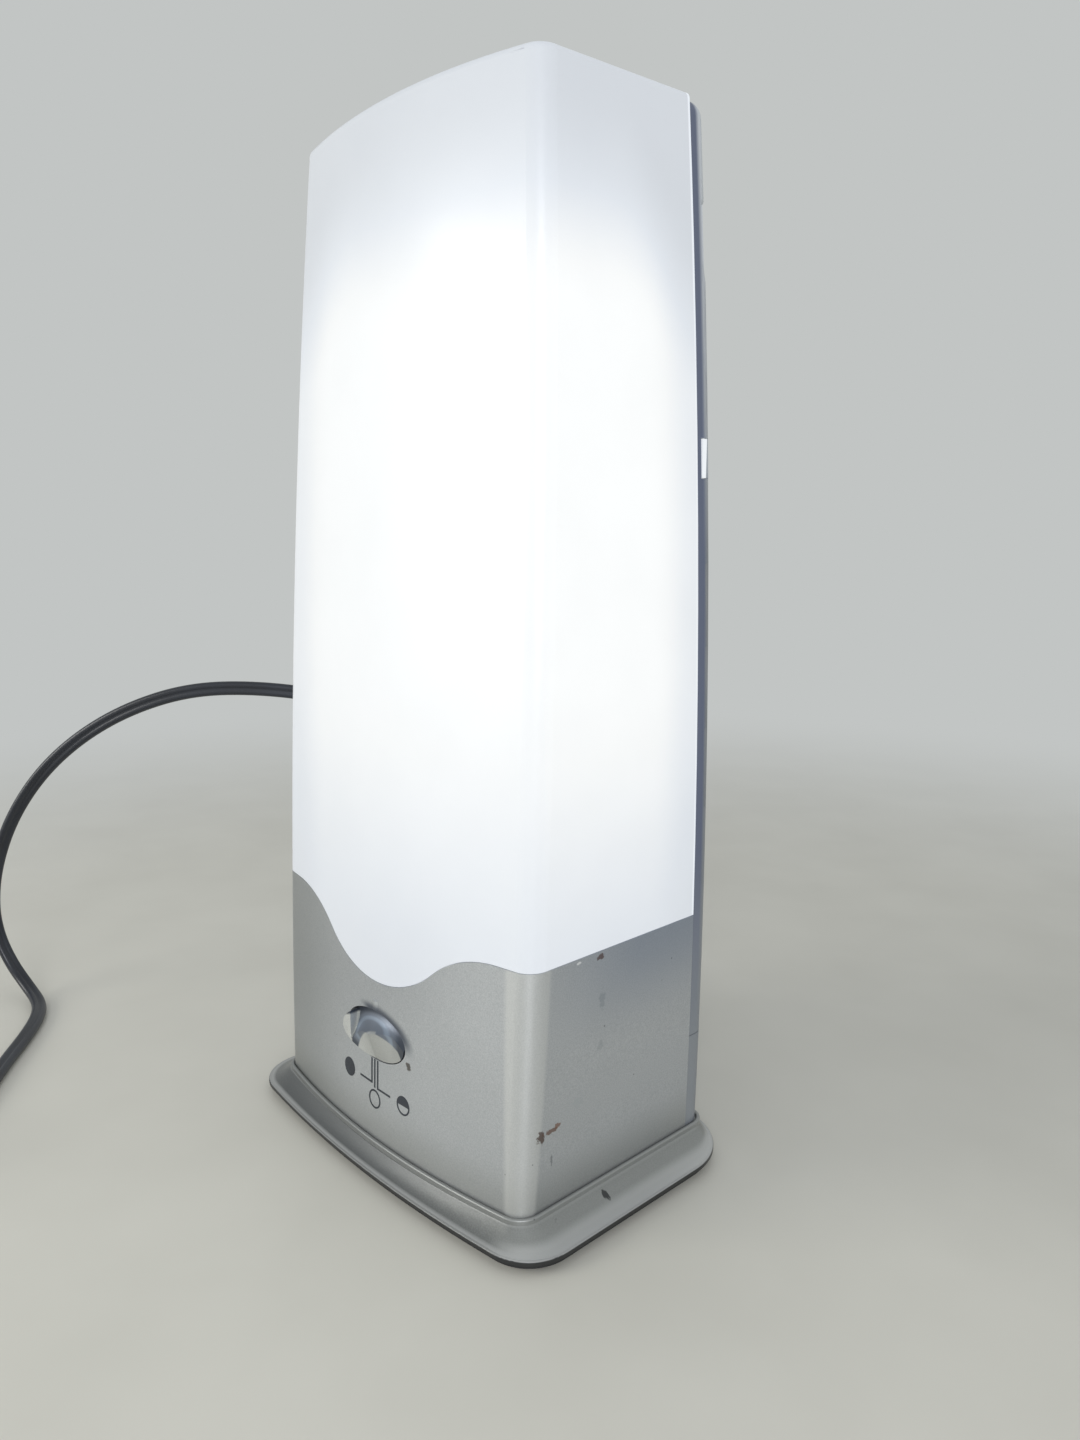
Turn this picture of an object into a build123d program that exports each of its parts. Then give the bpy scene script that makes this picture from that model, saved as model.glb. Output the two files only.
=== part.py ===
"""Light therapy lamp: a tall free-standing light box with a push-fit opal lens.

Millimetres. +Z is up and the lens faces -Y. The origin is the middle of the base, on the table.
"""

import math
import os

from build123d import *

os.makedirs("parts", exist_ok=True)

# --- Case ---------------------------------------------------------------------------------
height = 400.0  # at the front corners
top_crown = 1.6  # how far the top swells between the sides
top_rise = 3.0  # and rises from the front corners to the seam
case_base_z = 12.0  # the case stands on the foot here
half_width_base = 79.2
half_width_top = 69.3
side_bow = 5.2  # how far the sides swell beyond a straight taper, at mid height
front_corner_base = -46.8
front_corner_top = -27.9
front_bow = -1.2
front_bulge = 8.0  # the front is a shallow arc in plan
corner_r = 8.0  # upright corners of the case
seam_y = 42.75  # front shells end here and the rear covers begin
back_y = 53.75
housing_wall = 2.5
lens_wall = 2.2
cover_wall = 2.2
seam_gap = 0.3
lens_top_r = 2.5
slip = 0.3  # clearance between pieces that only lie beside each other
screw_fit = 0.05  # clearance round a screw, pin or prong in its hole

# --- Wave line between the housing and the lens --------------------------------------------
wave_crest_z = 103.4
wave_trough_z = 78.4
wave_run = 66.0  # from the middle of the trough to the top of a shoulder
trough_r = 51.0
tongue_depth = 6.0  # the lens reaches down behind the housing wall
tongue_thickness = 1.5

# --- Rear covers ---------------------------------------------------------------------------
cover_split_z = 52.0
cover_inset = 0.5  # the covers stand in a little from the front shells
cover_edge_r = 6.5
cover_corner_r = 7.0
vent_width = 34.0
vent_height = 3.0
vent_pitch = 7.0
vent_column_x = 26.0
top_vent_drop = 64.0  # from the top of the case to the lowest louvre of the upper group
top_vent_rows = 7
low_vent_z = 64.0
low_vent_rows = 5

# --- Snap hooks that hold the lens ---------------------------------------------------------
hook_z = 278.0
hook_height = 14.0
hook_behind_seam = 3.2
hook_length = 4.2
hook_root = 12.0  # overlap of the hook's arm with the lens wall
hook_arm = 2.0
hook_clearance = 0.8  # the cover leans past the upright hook by this much
hook_proud = 0.4
window_clearance = 0.4

# --- Foot and base -------------------------------------------------------------------------
foot_half_width = 94.0
foot_corner_y = -56.0
foot_bulge = 7.3  # its front is a shallow arc in plan, like the case's
foot_rear_y = 62.5
foot_front_r = 20.0
foot_rear_r = 30.0
foot_lip_z = 3.8
foot_shoulder_z = 5.4
foot_shoulder_width = 1.0
shoulder_round = 0.5
flare_top_z = 11.8
flare_hollow = 0.65  # 0 makes the flare a straight slope
flare_steps = 4
flare_wall = 2.0
lip_width = 2.2
deck_thickness = 2.5
bead_width = 1.8
bead_height = 1.2
base_plate_inset = 1.6
pad_height = 1.6
pad_r = 7.0
pad_x = 74.0
pad_y = 44.0
weight_length = 104.0
weight_width = 66.0
weight_thickness = 4.6

# --- Screws and their bosses -----------------------------------------------------------------
screw_r = 1.5
screw_head_r = 2.9
screw_head_height = 1.9
boss_r = 3.8
web_thickness = 2.5
base_screw_x = 58.0
base_screw_y = 26.0
base_screw_length = 20.0
base_head_height = 1.2
base_boss_height = 22.0
cover_screw_x = 66.0
cover_screw_heights = (32.0, 84.0)  # in the lower and in the upper cover
cover_screw_length = 12.0
cover_boss_length = 18.0
screw_sink = 1.2

# --- Rocker switch -------------------------------------------------------------------------
rocker_z = 56.4
rocker_half_length = 18.4
rocker_half_height = 9.5
rocker_end_gap = 1.1  # the ends swing, so they need more room than the long sides
rocker_side_gap = 0.5
rocker_tilt = 5.5  # each side of its middle position
rocker_behind_pivot = 2.5
pivot_depth = 5.0
pivot_r = 1.5
pivot_running_fit = 0.05
ridge_foot = 0.2  # how proud the thumb ridge stands at the bottom of the rocker
ridge_height = 6.2  # and at the top
ridge_half_width = 11.0
ridge_hollow = 0.6  # its flanks are this much hollow halfway
scoop_middle_x = 5.6  # centre of the scoop's crest circle, from the rocker's middle
scoop_middle_z = -21.7
scoop_crest_r = 24.2
scoop_front = (-1.0, 7.0)  # beyond the crest circle, and in front of the pivot's depth
scoop_bend = (1.3, 1.0)
scoop_floor = (11.5, -2.8)
rocker_tip_x = -14.0  # the scoop stops here, so the rocker's left tip stays level
hub_r = 4.0
hub_half_height = 4.0
lug_thickness = 4.0
lug_width = 10.0

# --- Switch behind the rocker --------------------------------------------------------------
switch_front_y = -39.1
switch_length = 30.0
switch_height = 22.0
switch_depth = 21.0
switch_edge_r = 1.5
switch_ear_x = 26.0
switch_screw_length = 7.0
ear_thickness = 2.0
blade_width = 6.0  # blade of the rocker that works the switch
blade_reach = 4.5  # into the switch
blade_end_gap = 2.0
blade_side_gap = 0.8
terminal_spacing = 8.0
terminal_thickness = 0.8
terminal_width = 4.8
terminal_length = 8.0

# --- Lamp and its chamber ------------------------------------------------------------------
lamp_y = 5.0
lamp_length = 217.0
tube_r = 8.75
tube_pitch = 20.0
tube_count = 4
tube_end_r = 7.0
bridge_r = 4.5
bridge_drop = 16.0
cap_length = 80.0
cap_width = 23.0
cap_height = 22.0
cap_shoulder_height = 9.0
prong_r = 1.2
prong_length = 6.5
prong_spacing = 11.0
prong_count = 4
holder_length = 86.0
holder_width = 27.0
holder_height = 15.0
holder_corner_r = 5.0
holder_screw_x = 38.0
holder_screw_length = 9.0
latch_width = 9.0
latch_root = 4.5
latch_catch = 1.2
latch_nose = 3.6
shelf_z = 107.0
shelf_thickness = 2.0
shelf_inset = 6.0
shelf_hole_r = 5.0
shelf_slot_length = 15.0
shelf_screw_length = 6.7
ledge_x = 40.0
ledge_width = 16.0
ledge_depth = 12.0
ledge_height = 5.0
reflector_y = 24.0
reflector_sheet = 1.0
reflector_flat = 44.0  # half width of the flat back
reflector_low_z = 113.0
reflector_top_z = 388.0
wing_y = 4.0
wing_clearance = 4.0
post_x = 36.0
post_heights = (128.0, 326.0)
post_hole = 9.0
clip_z = 300.0
clip_height = 8.0
clip_sheet = 0.9
clip_mouth = 1.4  # how far the clip's jaws reach in front of the tubes' middle
clip_leg = 1.8

# --- Ballast board, with places counted from its middle ---------------------------------------
board_length = 100.0
board_width = 58.0
board_thickness = 1.6
board_corner_r = 2.0
board_y = 16.0
board_screw_inset = 6.0
standoff_height = 7.0
standoff_r = 3.5
board_screw_length = 8.3
inductor_places = ((-32.0, 12.0), (-6.0, 12.0))
inductor_core = (22.0, 12.0, 20.0)  # length, width, height
winding = (15.0, 19.0, 13.0)
winding_r = 3.0
# x, y, radius and height of each capacitor
capacitors = ((32.0, 16.0, 8.0, 25.0), (34.0, -3.0, 5.0, 16.0), (22.0, 0.0, 4.0, 12.0))
capacitor_edge_r = 0.8
heatsink_place = (-22.0, -10.0)
heatsink_length = 44.0
heatsink_plate = 2.4
heatsink_height = 26.0
fin_count = 7
fin_pitch = 6.0
fin_thickness = 1.4
fin_depth = 5.0
transistor_spacing = 20.0
transistor = (10.0, 4.4, 15.0)
transistor_lift = 5.0
transistor_leg = (0.8, 0.6)
transistor_leg_pitch = 2.5
block_place = (26.0, -22.0)
block_length = 26.0
block_width = 10.0
block_height = 12.0
block_ways = 3
block_screw_r = 2.4
block_screw_depth = 3.0

# --- Inner leads ---------------------------------------------------------------------------
lead_r = 0.9
lead_bend = 6.0
lamp_lead_x = 51.0
lamp_lead_foot_x = 46.0
lamp_lead_pitch = 2.6
lamp_lead_count = 4
mains_lead_r = 2.0
mains_drop_y = 37.0
mains_lead_way = ((0.0, 37.0, 76.0), (8.0, 29.0, 54.0), (15.5, 16.0, 38.0), (15.5, 8.0, 27.0))

# --- Strain relief -------------------------------------------------------------------------
cord_r = 2.75
cord_exit_z = 142.0
relief_inner_y = 45.0
relief_neck_r = 4.4
relief_barb_r = 5.2
relief_barb_length = 1.5
relief_flange_r = 6.6
relief_flange = 1.6
relief_sleeve_r = 5.2
relief_length = 20.0
relief_wall = 1.0
relief_grooves = 5
groove_first = 4.0
groove_pitch = 3.0
groove_width = 1.4

# --- Cord and plug ---------------------------------------------------------------------------
floor_gap = 0.1
turn_pitch = 4.2  # the flat cord's turns stand on edge
coil_centre = (-153.6, -230.0)
coil_middle_r = 33.0
coil_turns = 3  # side by side, in each of two layers
coil_layer = 7.4
coil_notch = 24.0
coil_notch_clearance = 1.8
coil_leave_angle = 225.0
plug_length = 30.0
plug_width = 24.0
plug_thickness = 16.0
plug_corner_r = 5.0
plug_neck_length = 12.0
plug_neck = (10.0, 8.0)
plug_neck_r = 3.0
plug_shoulder = 0.88
plug_blade = (1.5, 6.35)
plug_blade_length = 16.0
plug_blade_spacing = 12.7


# --- Shared shapes -------------------------------------------------------------------------
def edge_at(base, top, bow, z):
    """Where an edge of the case stands at height z, when it bows out halfway up."""
    t = (z - case_base_z) / (height - case_base_z)
    return base + (top - base) * t + 4 * bow * t * (1 - t)


def half_width(z):
    return edge_at(half_width_base, half_width_top, side_bow, z)


def front_corner_y(z):
    return edge_at(front_corner_base, front_corner_top, front_bow, z)


def front_y(z):
    """The foremost line of the case, on its middle."""
    return front_corner_y(z) - front_bulge


def case_section(inset, z, rear_y):
    """Plan outline of the case at height z, inset from its skin and cut off at rear_y."""
    half = half_width(z) - inset
    corner = front_corner_y(z) + inset
    with BuildSketch(Plane.XY.offset(z)) as section:
        with BuildLine():
            ThreePointArc((-half, corner), (0, corner - front_bulge), (half, corner))
            Polyline((half, corner), (half, rear_y), (-half, rear_y), (-half, corner))
        make_face()
        fillet(section.vertices().sort_by(Axis.Y)[:2], radius=corner_r - inset)
    return section.sketch


def case_block(inset, z_low, z_high, rear_y):
    """Solid block of the case between two heights."""
    heights = (z_low, (z_low + z_high) / 2, z_high)
    with BuildPart() as block:
        loft(sections=[case_section(inset, z, rear_y) for z in heights])
    return block.part


def above_top(drop):
    """Space above the crowned, rising top of the case, lowered by drop."""
    slope = top_rise / (seam_y - front_corner_top)
    reach = half_width_base
    crest = top_crown - drop
    side = crest - top_crown * (reach / half_width_top) ** 2
    tilted = Plane(origin=(0, front_corner_top, height), x_dir=(1, 0, 0), z_dir=(0, -1, -slope))
    with BuildPart() as space:
        with BuildSketch(tilted):
            with BuildLine():
                ThreePointArc((-reach, side), (0, crest), (reach, side))
                Polyline((reach, side), (reach, reach), (-reach, reach), (-reach, side))
            make_face()
        extrude(amount=2 * reach, both=True)
    return space.part


def wave_region(shift, z_end):
    """Front view face between the wave line, moved up by shift, and the level z_end."""
    rise = wave_crest_z - wave_trough_z
    both_r = (wave_run**2 + rise**2) / (2 * rise)
    angle = math.degrees(math.asin(wave_run / both_r))
    shoulder_r = both_r - trough_r
    reach = foot_half_width
    crest = wave_crest_z + shift
    with BuildSketch(Plane.XZ) as region:
        with BuildLine():
            left = Line((-reach, crest), (-wave_run, crest))
            fall = JernArc(left @ 1, left % 1, shoulder_r, -angle)
            trough = JernArc(fall @ 1, fall % 1, trough_r, 2 * angle)
            climb = JernArc(trough @ 1, trough % 1, shoulder_r, -angle)
            Polyline(climb @ 1, (reach, crest), (reach, z_end), (-reach, z_end), (-reach, crest))
        make_face()
    return region.sketch


def cover_face(inset, z_low, z_high, y, top_r):
    """Rear view outline of a cover between two heights, on the plane at y; a rounded top is crowned."""
    z_mid = (z_low + z_high) / 2
    low, mid, high = (half_width(z) - cover_inset - inset for z in (z_low, z_mid, z_high))
    with BuildSketch(Plane.XZ.offset(-y)) as face:
        with BuildLine():
            Line((-low, z_low), (low, z_low))
            ThreePointArc((low, z_low), (mid, z_mid), (high, z_high))
            if top_r:
                ThreePointArc((high, z_high), (0, z_high + top_crown), (-high, z_high))
            else:
                Line((high, z_high), (-high, z_high))
            ThreePointArc((-high, z_high), (-mid, z_mid), (-low, z_low))
        make_face()
        if top_r:
            fillet(face.vertices().sort_by(Axis.Y)[-2:], radius=top_r)
    return face.sketch


def cover_shell(z_low, z_high, top_r):
    """Shallow tray that closes the back, with a rounded rear edge."""
    inner_low = z_low + cover_wall
    inner_high = z_high - cover_wall
    inner_top_r = top_r - cover_wall if top_r else 0
    tray_depth = back_y - seam_y - seam_gap
    with BuildPart() as shell:
        extrude(cover_face(0, z_low, z_high, seam_y + seam_gap, top_r), amount=-tray_depth)
        rear_edges = shell.faces().sort_by(Axis.Y)[-1].edges()
        rounded = rear_edges.sort_by(Axis.Z)[1:] if top_r else rear_edges.filter_by(GeomType.CIRCLE)
        fillet(rounded, radius=cover_edge_r)
        cavity = cover_face(cover_wall, inner_low, inner_high, seam_y, inner_top_r)
        extrude(cavity, amount=seam_y + cover_wall - back_y, mode=Mode.SUBTRACT)
    return shell.part


def screws(plane, places, shank_length, head_height=screw_head_height):
    """Pan head screws whose heads stand on the plane and whose shanks run along its normal."""
    with BuildPart() as group:
        with BuildSketch(plane):
            with Locations(*places):
                Circle(screw_head_r)
        extrude(amount=-head_height)
        with BuildSketch(plane):
            with Locations(*places):
                Circle(screw_r)
        extrude(amount=shank_length)
    return group.part


def rods(plane, places, radius, depth):
    """Round rods that run from the plane along its normal, as pins or to cut holes."""
    with BuildPart() as group:
        with BuildSketch(plane):
            with Locations(*places):
                Circle(radius)
        extrude(amount=depth)
    return group.part


def mirrored(x, others):
    """Places at plus and minus x, at each of the other coordinates."""
    return [(side * x, other) for side in (-1, 1) for other in others]


def save(piece, name):
    piece.label = name
    export_step(piece, f"parts/{name}.step")


def facing(y):
    """Upright plane at y whose normal points forward, with x to the right and z up."""
    return Plane.XZ.offset(-y)


# --- Foot: flared plinth --------------------------------------------------------------------
def plan_outline(half, corner_y, bulge, rear_y, front_r, rear_r, z):
    """Outline with a bowed front, straight sides and back, and rounded corners, at height z."""
    with BuildSketch(Plane.XY.offset(z)) as outline:
        with BuildLine():
            ThreePointArc((-half, corner_y), (0, corner_y - bulge), (half, corner_y))
            Polyline((half, corner_y), (half, rear_y), (-half, rear_y), (-half, corner_y))
        make_face()
        fillet(outline.vertices().sort_by(Axis.Y)[:2], radius=front_r)
        fillet(outline.vertices().sort_by(Axis.Y)[-2:], radius=rear_r)
    return outline.sketch


def case_outline(grow, z):
    """Plan outline of the case where it stands on the foot, rear covers included."""
    return plan_outline(
        half_width_base + grow,
        front_corner_base - grow,
        front_bulge,
        back_y + grow,
        corner_r + grow,
        cover_edge_r + grow,
        z,
    )


def flare_outline(way, inset, z):
    """Plan outline that lies way of the way from the foot's shoulder up to the bead."""

    def blend(at_edge, at_bead):
        return at_edge + (at_bead - at_edge) * way

    out = bead_width / 2
    return plan_outline(
        blend(foot_half_width - foot_shoulder_width, half_width_base + out) - inset,
        blend(foot_corner_y + foot_shoulder_width, front_corner_base - out) + inset,
        blend(foot_bulge, front_bulge),
        blend(foot_rear_y - foot_shoulder_width, back_y + out) - inset,
        blend(foot_front_r - foot_shoulder_width, corner_r + out) - inset,
        blend(foot_rear_r - foot_shoulder_width, cover_edge_r + out) - inset,
        z,
    )


def flare_block(inset, drop):
    """Solid under the foot's hollow slope, inset from it and lowered by drop."""
    sections = []
    for step in range(flare_steps + 1):
        way = step / flare_steps
        climb = (1 - flare_hollow) * way + flare_hollow * way**2
        level = foot_shoulder_z + (flare_top_z - foot_shoulder_z) * climb - drop
        sections.append(flare_outline(way, inset, level))
    with BuildPart() as block:
        loft(sections=sections)
    return block.part


outline_face = case_outline(0, case_base_z).face()
outline_wire = outline_face.outer_wire()
deck_low_z = case_base_z - deck_thickness
base_screw_places = mirrored(base_screw_x, (-base_screw_y, base_screw_y))

with BuildPart() as foot:
    extrude(flare_outline(0, -foot_shoulder_width, foot_lip_z), amount=foot_shoulder_z - foot_lip_z)
    fillet(foot.faces().sort_by(Axis.Z)[-1].edges(), radius=shoulder_round)
    add(flare_block(0, 0))
    add(flare_block(lip_width, flare_wall), mode=Mode.SUBTRACT)
    # deck and bead that the case stands on
    start = outline_wire @ 0
    outward = (outline_wire % 0).cross(Vector(0, 0, 1))
    if outline_face.is_inside(start + outward):
        outward = -outward
    along = outward.cross(Vector(0, 0, 1))
    with BuildSketch(Plane(origin=(start.X, start.Y, 0), x_dir=outward, z_dir=along)):
        with BuildLine():
            bead_in = seam_gap / 2
            bead_top = case_base_z + bead_height
            bead_side = bead_top - bead_width / 3
            Polyline((-housing_wall, case_base_z), (bead_in, case_base_z), (bead_in, bead_side))
            ThreePointArc((bead_in, bead_side), (bead_width / 2, bead_top), (bead_width, bead_side))
            Polyline(
                (bead_width, bead_side),
                (bead_width, deck_low_z),
                (-housing_wall, deck_low_z),
                (-housing_wall, case_base_z),
            )
        make_face()
    sweep(path=outline_wire)
    add(extrude(case_outline(-housing_wall / 2, case_base_z), amount=-deck_thickness, mode=Mode.PRIVATE))
    with BuildSketch(Plane.XY.offset(foot_lip_z)):
        with Locations(*base_screw_places):
            Circle(boss_r)
    extrude(amount=deck_low_z - foot_lip_z)
    with BuildSketch(Plane.XY.offset(foot_lip_z)):
        with Locations(*base_screw_places):
            Circle(screw_r + slip)
    extrude(amount=case_base_z - foot_lip_z, mode=Mode.SUBTRACT)

save(foot.part, "foot")

with BuildPart() as base_plate:
    plate_inset = base_plate_inset - foot_shoulder_width
    extrude(flare_outline(0, plate_inset, pad_height), amount=foot_lip_z - pad_height)
    plate_plane = Plane.XY.offset(pad_height)
    add(rods(plate_plane, base_screw_places, screw_r + slip, foot_lip_z), mode=Mode.SUBTRACT)

save(base_plate.part, "base_plate")

with BuildPart() as rubber_feet:
    with BuildSketch(Plane.XY):
        with GridLocations(2 * pad_x, 2 * pad_y, 2, 2):
            Circle(pad_r)
    extrude(amount=pad_height)
    chamfer(rubber_feet.faces().sort_by(Axis.Z)[:4].edges(), length=pad_height / 4)

save(rubber_feet.part, "rubber_feet")

with BuildPart() as base_weight:
    with BuildSketch(Plane.XY.offset(deck_low_z)):
        RectangleRounded(weight_length, weight_width, corner_r)
    extrude(amount=-weight_thickness)

save(base_weight.part, "base_weight")
save(screws(plate_plane, base_screw_places, base_screw_length, base_head_height), "base_screws")

# --- Front housing: silver shell with the switch opening ------------------------------------
pivot_y = front_y(rocker_z) + pivot_depth
hole_half_length = rocker_half_length + rocker_end_gap
hole_half_height = rocker_half_height + rocker_side_gap
cover_inner_y = back_y - cover_wall
lug_reach = hole_half_height + slip + lug_thickness
switch_ear_places = mirrored(switch_ear_x, (rocker_z,))
cover_screw_places = mirrored(cover_screw_x, cover_screw_heights)

with BuildPart() as front_housing:
    add(case_block(0, case_base_z, wave_crest_z + tongue_depth, seam_y))
    cavity_top_z = wave_crest_z + 2 * tongue_depth
    add(case_block(housing_wall, case_base_z - slip, cavity_top_z, seam_y + slip), mode=Mode.SUBTRACT)
    extrude(wave_region(0, height), amount=back_y, both=True, mode=Mode.SUBTRACT)
    # upright bosses for the screws that hold the foot, tied to the side walls by webs
    for x, y in base_screw_places:
        web_inner_x = base_screw_x + boss_r / 2
        web_outer_x = half_width_base - housing_wall / 2
        with BuildSketch(Plane.XY.offset(case_base_z)):
            with Locations((x, y)):
                Circle(boss_r)
            with Locations((math.copysign((web_inner_x + web_outer_x) / 2, x), y)):
                Rectangle(web_outer_x - web_inner_x, web_thickness)
        extrude(amount=base_boss_height)
    # level bosses for the screws of the rear covers
    for x, z in cover_screw_places:
        web_inner_x = cover_screw_x + boss_r / 2
        web_outer_x = half_width(z) - housing_wall / 2
        with BuildSketch(facing(cover_inner_y)):
            with Locations((x, z)):
                Circle(boss_r)
        extrude(amount=cover_boss_length)
        with BuildSketch(facing(seam_y)):
            with Locations((math.copysign((web_inner_x + web_outer_x) / 2, x), z)):
                Rectangle(web_outer_x - web_inner_x, web_thickness)
        extrude(amount=cover_boss_length + seam_y - cover_inner_y)
    base_plane = Plane.XY.offset(case_base_z)
    add(
        rods(base_plane, base_screw_places, screw_r + screw_fit, base_boss_height - web_thickness),
        mode=Mode.SUBTRACT,
    )
    add(
        rods(facing(cover_inner_y), cover_screw_places, screw_r + screw_fit, cover_screw_length),
        mode=Mode.SUBTRACT,
    )
    # lugs that carry the rocker's pin
    for side in (-1, 1):
        lug_low_z = rocker_z + side * (hole_half_height + slip + lug_thickness / 2) - lug_thickness / 2
        with BuildSketch(Plane.XY.offset(lug_low_z)):
            with Locations((0, pivot_y)):
                SlotOverall(lug_width, 2 * boss_r, rotation=90)
            with Locations((0, pivot_y - (pivot_depth - housing_wall / 2) / 2)):
                Rectangle(2 * boss_r, pivot_depth - housing_wall / 2)
        extrude(amount=lug_thickness)
    pin_plane = Plane.XY.offset(rocker_z - lug_reach)
    add(rods(pin_plane, [(0, pivot_y)], pivot_r + screw_fit, 2 * lug_reach), mode=Mode.SUBTRACT)
    # posts for the switch
    with BuildSketch(facing(switch_front_y)):
        with Locations(*switch_ear_places):
            Circle(boss_r)
    extrude(until=Until.NEXT)
    add(
        rods(facing(switch_front_y), switch_ear_places, screw_r + screw_fit, switch_screw_length),
        mode=Mode.SUBTRACT,
    )
    # opening for the rocker
    with BuildSketch(facing(pivot_y)):
        with Locations((0, rocker_z)):
            Ellipse(hole_half_length, hole_half_height)
    extrude(amount=2 * front_bulge, mode=Mode.SUBTRACT)

save(front_housing.part, "front_housing")

# --- Lens: opal front with its tongue and snap hooks -----------------------------------------
tongue_out = housing_wall + slip
tongue_in = tongue_out + tongue_thickness
lens_low_z = wave_trough_z - tongue_depth
tongue_top_z = wave_crest_z + tongue_depth
top_spare = 2 * (top_rise + top_crown)  # cut away by the space above the top


def inner_ring(outer_inset):
    """Band inside the case between outer_inset and the tongue's inner face."""
    with BuildPart() as ring:
        add(case_block(outer_inset, lens_low_z, tongue_top_z, seam_y))
        cavity = case_block(tongue_in, lens_low_z - slip, tongue_top_z + slip, seam_y + slip)
        add(cavity, mode=Mode.SUBTRACT)
        extrude(wave_region(tongue_depth / 2, height), amount=back_y, both=True, mode=Mode.SUBTRACT)
    return ring.part


with BuildPart() as tongue:
    add(inner_ring(tongue_out))
    extrude(wave_region(-tongue_depth, 0), amount=back_y, both=True, mode=Mode.SUBTRACT)

with BuildPart() as shoulder_band:
    add(inner_ring(lens_wall / 2))
    extrude(wave_region(seam_gap, 0), amount=back_y, both=True, mode=Mode.SUBTRACT)

hook_half_width = half_width(hook_z)
cover_skin = hook_half_width - cover_inset
hook_y = seam_y + hook_behind_seam

with BuildPart() as lens_room:
    add(case_block(lens_wall, lens_low_z - slip, height + top_spare, seam_y + slip))
    add(above_top(lens_wall), mode=Mode.SUBTRACT)

with BuildPart() as lens:
    add(case_block(0, lens_low_z, height + top_spare, seam_y))
    add(above_top(0), mode=Mode.SUBTRACT)
    top_edges = lens.faces().sort_by(Axis.Z)[-1].edges().sort_by(Axis.Y)[:-1]
    fillet(top_edges, radius=lens_top_r)
    add(lens_room.part, mode=Mode.SUBTRACT)
    extrude(wave_region(seam_gap, 0), amount=back_y, both=True, mode=Mode.SUBTRACT)
    add(tongue.part)
    add(shoulder_band.part)
    with BuildSketch(Plane.XY.offset(hook_z - hook_height / 2)):
        for side in (-1, 1):
            wall_x = side * (hook_half_width - lens_wall / 2)
            arm_out_x = side * (cover_skin - cover_wall - hook_clearance)
            arm_in_x = side * (cover_skin - cover_wall - hook_clearance - hook_arm)
            with BuildLine():
                Polyline(
                    (wall_x, seam_y - hook_root),
                    (wall_x, seam_y - hook_arm),
                    (arm_out_x, seam_y - hook_arm / 2),
                    (arm_out_x, hook_y),
                    (side * (cover_skin + hook_proud), hook_y),
                    (side * (cover_skin + hook_proud), hook_y + hook_length / 2),
                    (side * (cover_skin - cover_wall), hook_y + hook_length),
                    (arm_in_x, hook_y + hook_length),
                    (arm_in_x, seam_y - hook_root),
                    close=True,
                )
            make_face()
    extrude(amount=hook_height)

save(lens.part, "lens")

# --- Rear covers ------------------------------------------------------------------------------
upper_low_z = cover_split_z + seam_gap / 2
lower_high_z = cover_split_z - seam_gap / 2
rear_plane = Plane(origin=(0, back_y, 0), x_dir=(-1, 0, 0), z_dir=(0, 1, 0))
reflector_back_y = reflector_y + reflector_sheet
post_places = mirrored(post_x, post_heights)
ledge_y = cover_inner_y - ledge_depth / 2
ledge_places = [(-ledge_x, ledge_y), (ledge_x, ledge_y)]


def cut_counterbores(z):
    """Counterbored holes for a cover's two screws, from its rear face."""
    hole_r = screw_r + slip
    sink_r = screw_head_r + slip
    with Locations(rear_plane):
        with Locations((-cover_screw_x, z), (cover_screw_x, z)):
            CounterBoreHole(hole_r, sink_r, screw_sink, depth=cover_wall, mode=Mode.SUBTRACT)


with BuildPart() as rear_cover:
    add(cover_shell(upper_low_z, height + top_rise - cover_inset, cover_corner_r))
    # louvres that let the warm air in below and out above
    with BuildSketch(facing(back_y)):
        for low_z, rows in ((low_vent_z, low_vent_rows), (height - top_vent_drop, top_vent_rows)):
            for row in range(rows):
                with Locations(*mirrored(vent_column_x, (low_z + row * vent_pitch,))):
                    SlotOverall(vent_width, vent_height)
    extrude(amount=cover_wall, mode=Mode.SUBTRACT)
    # posts that carry the reflector
    with BuildSketch(facing(reflector_back_y)):
        with Locations(*post_places):
            Circle(boss_r)
    extrude(amount=reflector_back_y - cover_inner_y)
    # ledges under the lamp shelf
    with BuildSketch(Plane.XY.offset(shelf_z - ledge_height)):
        with Locations(*ledge_places):
            Rectangle(ledge_width, ledge_depth)
    extrude(amount=ledge_height)
    add(
        rods(Plane.XY.offset(shelf_z - ledge_height), ledge_places, screw_r + screw_fit, ledge_height),
        mode=Mode.SUBTRACT,
    )
    with BuildSketch(facing(reflector_back_y)):
        with Locations(*post_places):
            Circle(screw_r + screw_fit)
    extrude(amount=-post_hole, mode=Mode.SUBTRACT)
    # hole for the strain relief
    with BuildSketch(facing(back_y)):
        with Locations((0, cord_exit_z)):
            Circle(relief_neck_r + screw_fit)
    extrude(amount=cover_wall, mode=Mode.SUBTRACT)
    # windows for the snap hooks of the lens
    with BuildSketch(Plane.XY.offset(hook_z - hook_height / 2 - window_clearance)):
        for side in (-1, 1):
            with Locations((side * cover_skin, hook_y + hook_length / 2)):
                Rectangle(3 * cover_wall, hook_length + 2 * window_clearance)
    extrude(amount=hook_height + 2 * window_clearance, mode=Mode.SUBTRACT)
    cut_counterbores(cover_screw_heights[1])

save(rear_cover.part, "rear_cover")

with BuildPart() as lower_rear_cover:
    add(cover_shell(case_base_z, lower_high_z, 0))
    cut_counterbores(cover_screw_heights[0])

save(lower_rear_cover.part, "lower_rear_cover")

sunk_plane = facing(back_y - screw_sink)
cover_shank = cover_screw_length + cover_wall - screw_sink - slip
save(screws(sunk_plane, cover_screw_places, cover_shank), "cover_screws")

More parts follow.
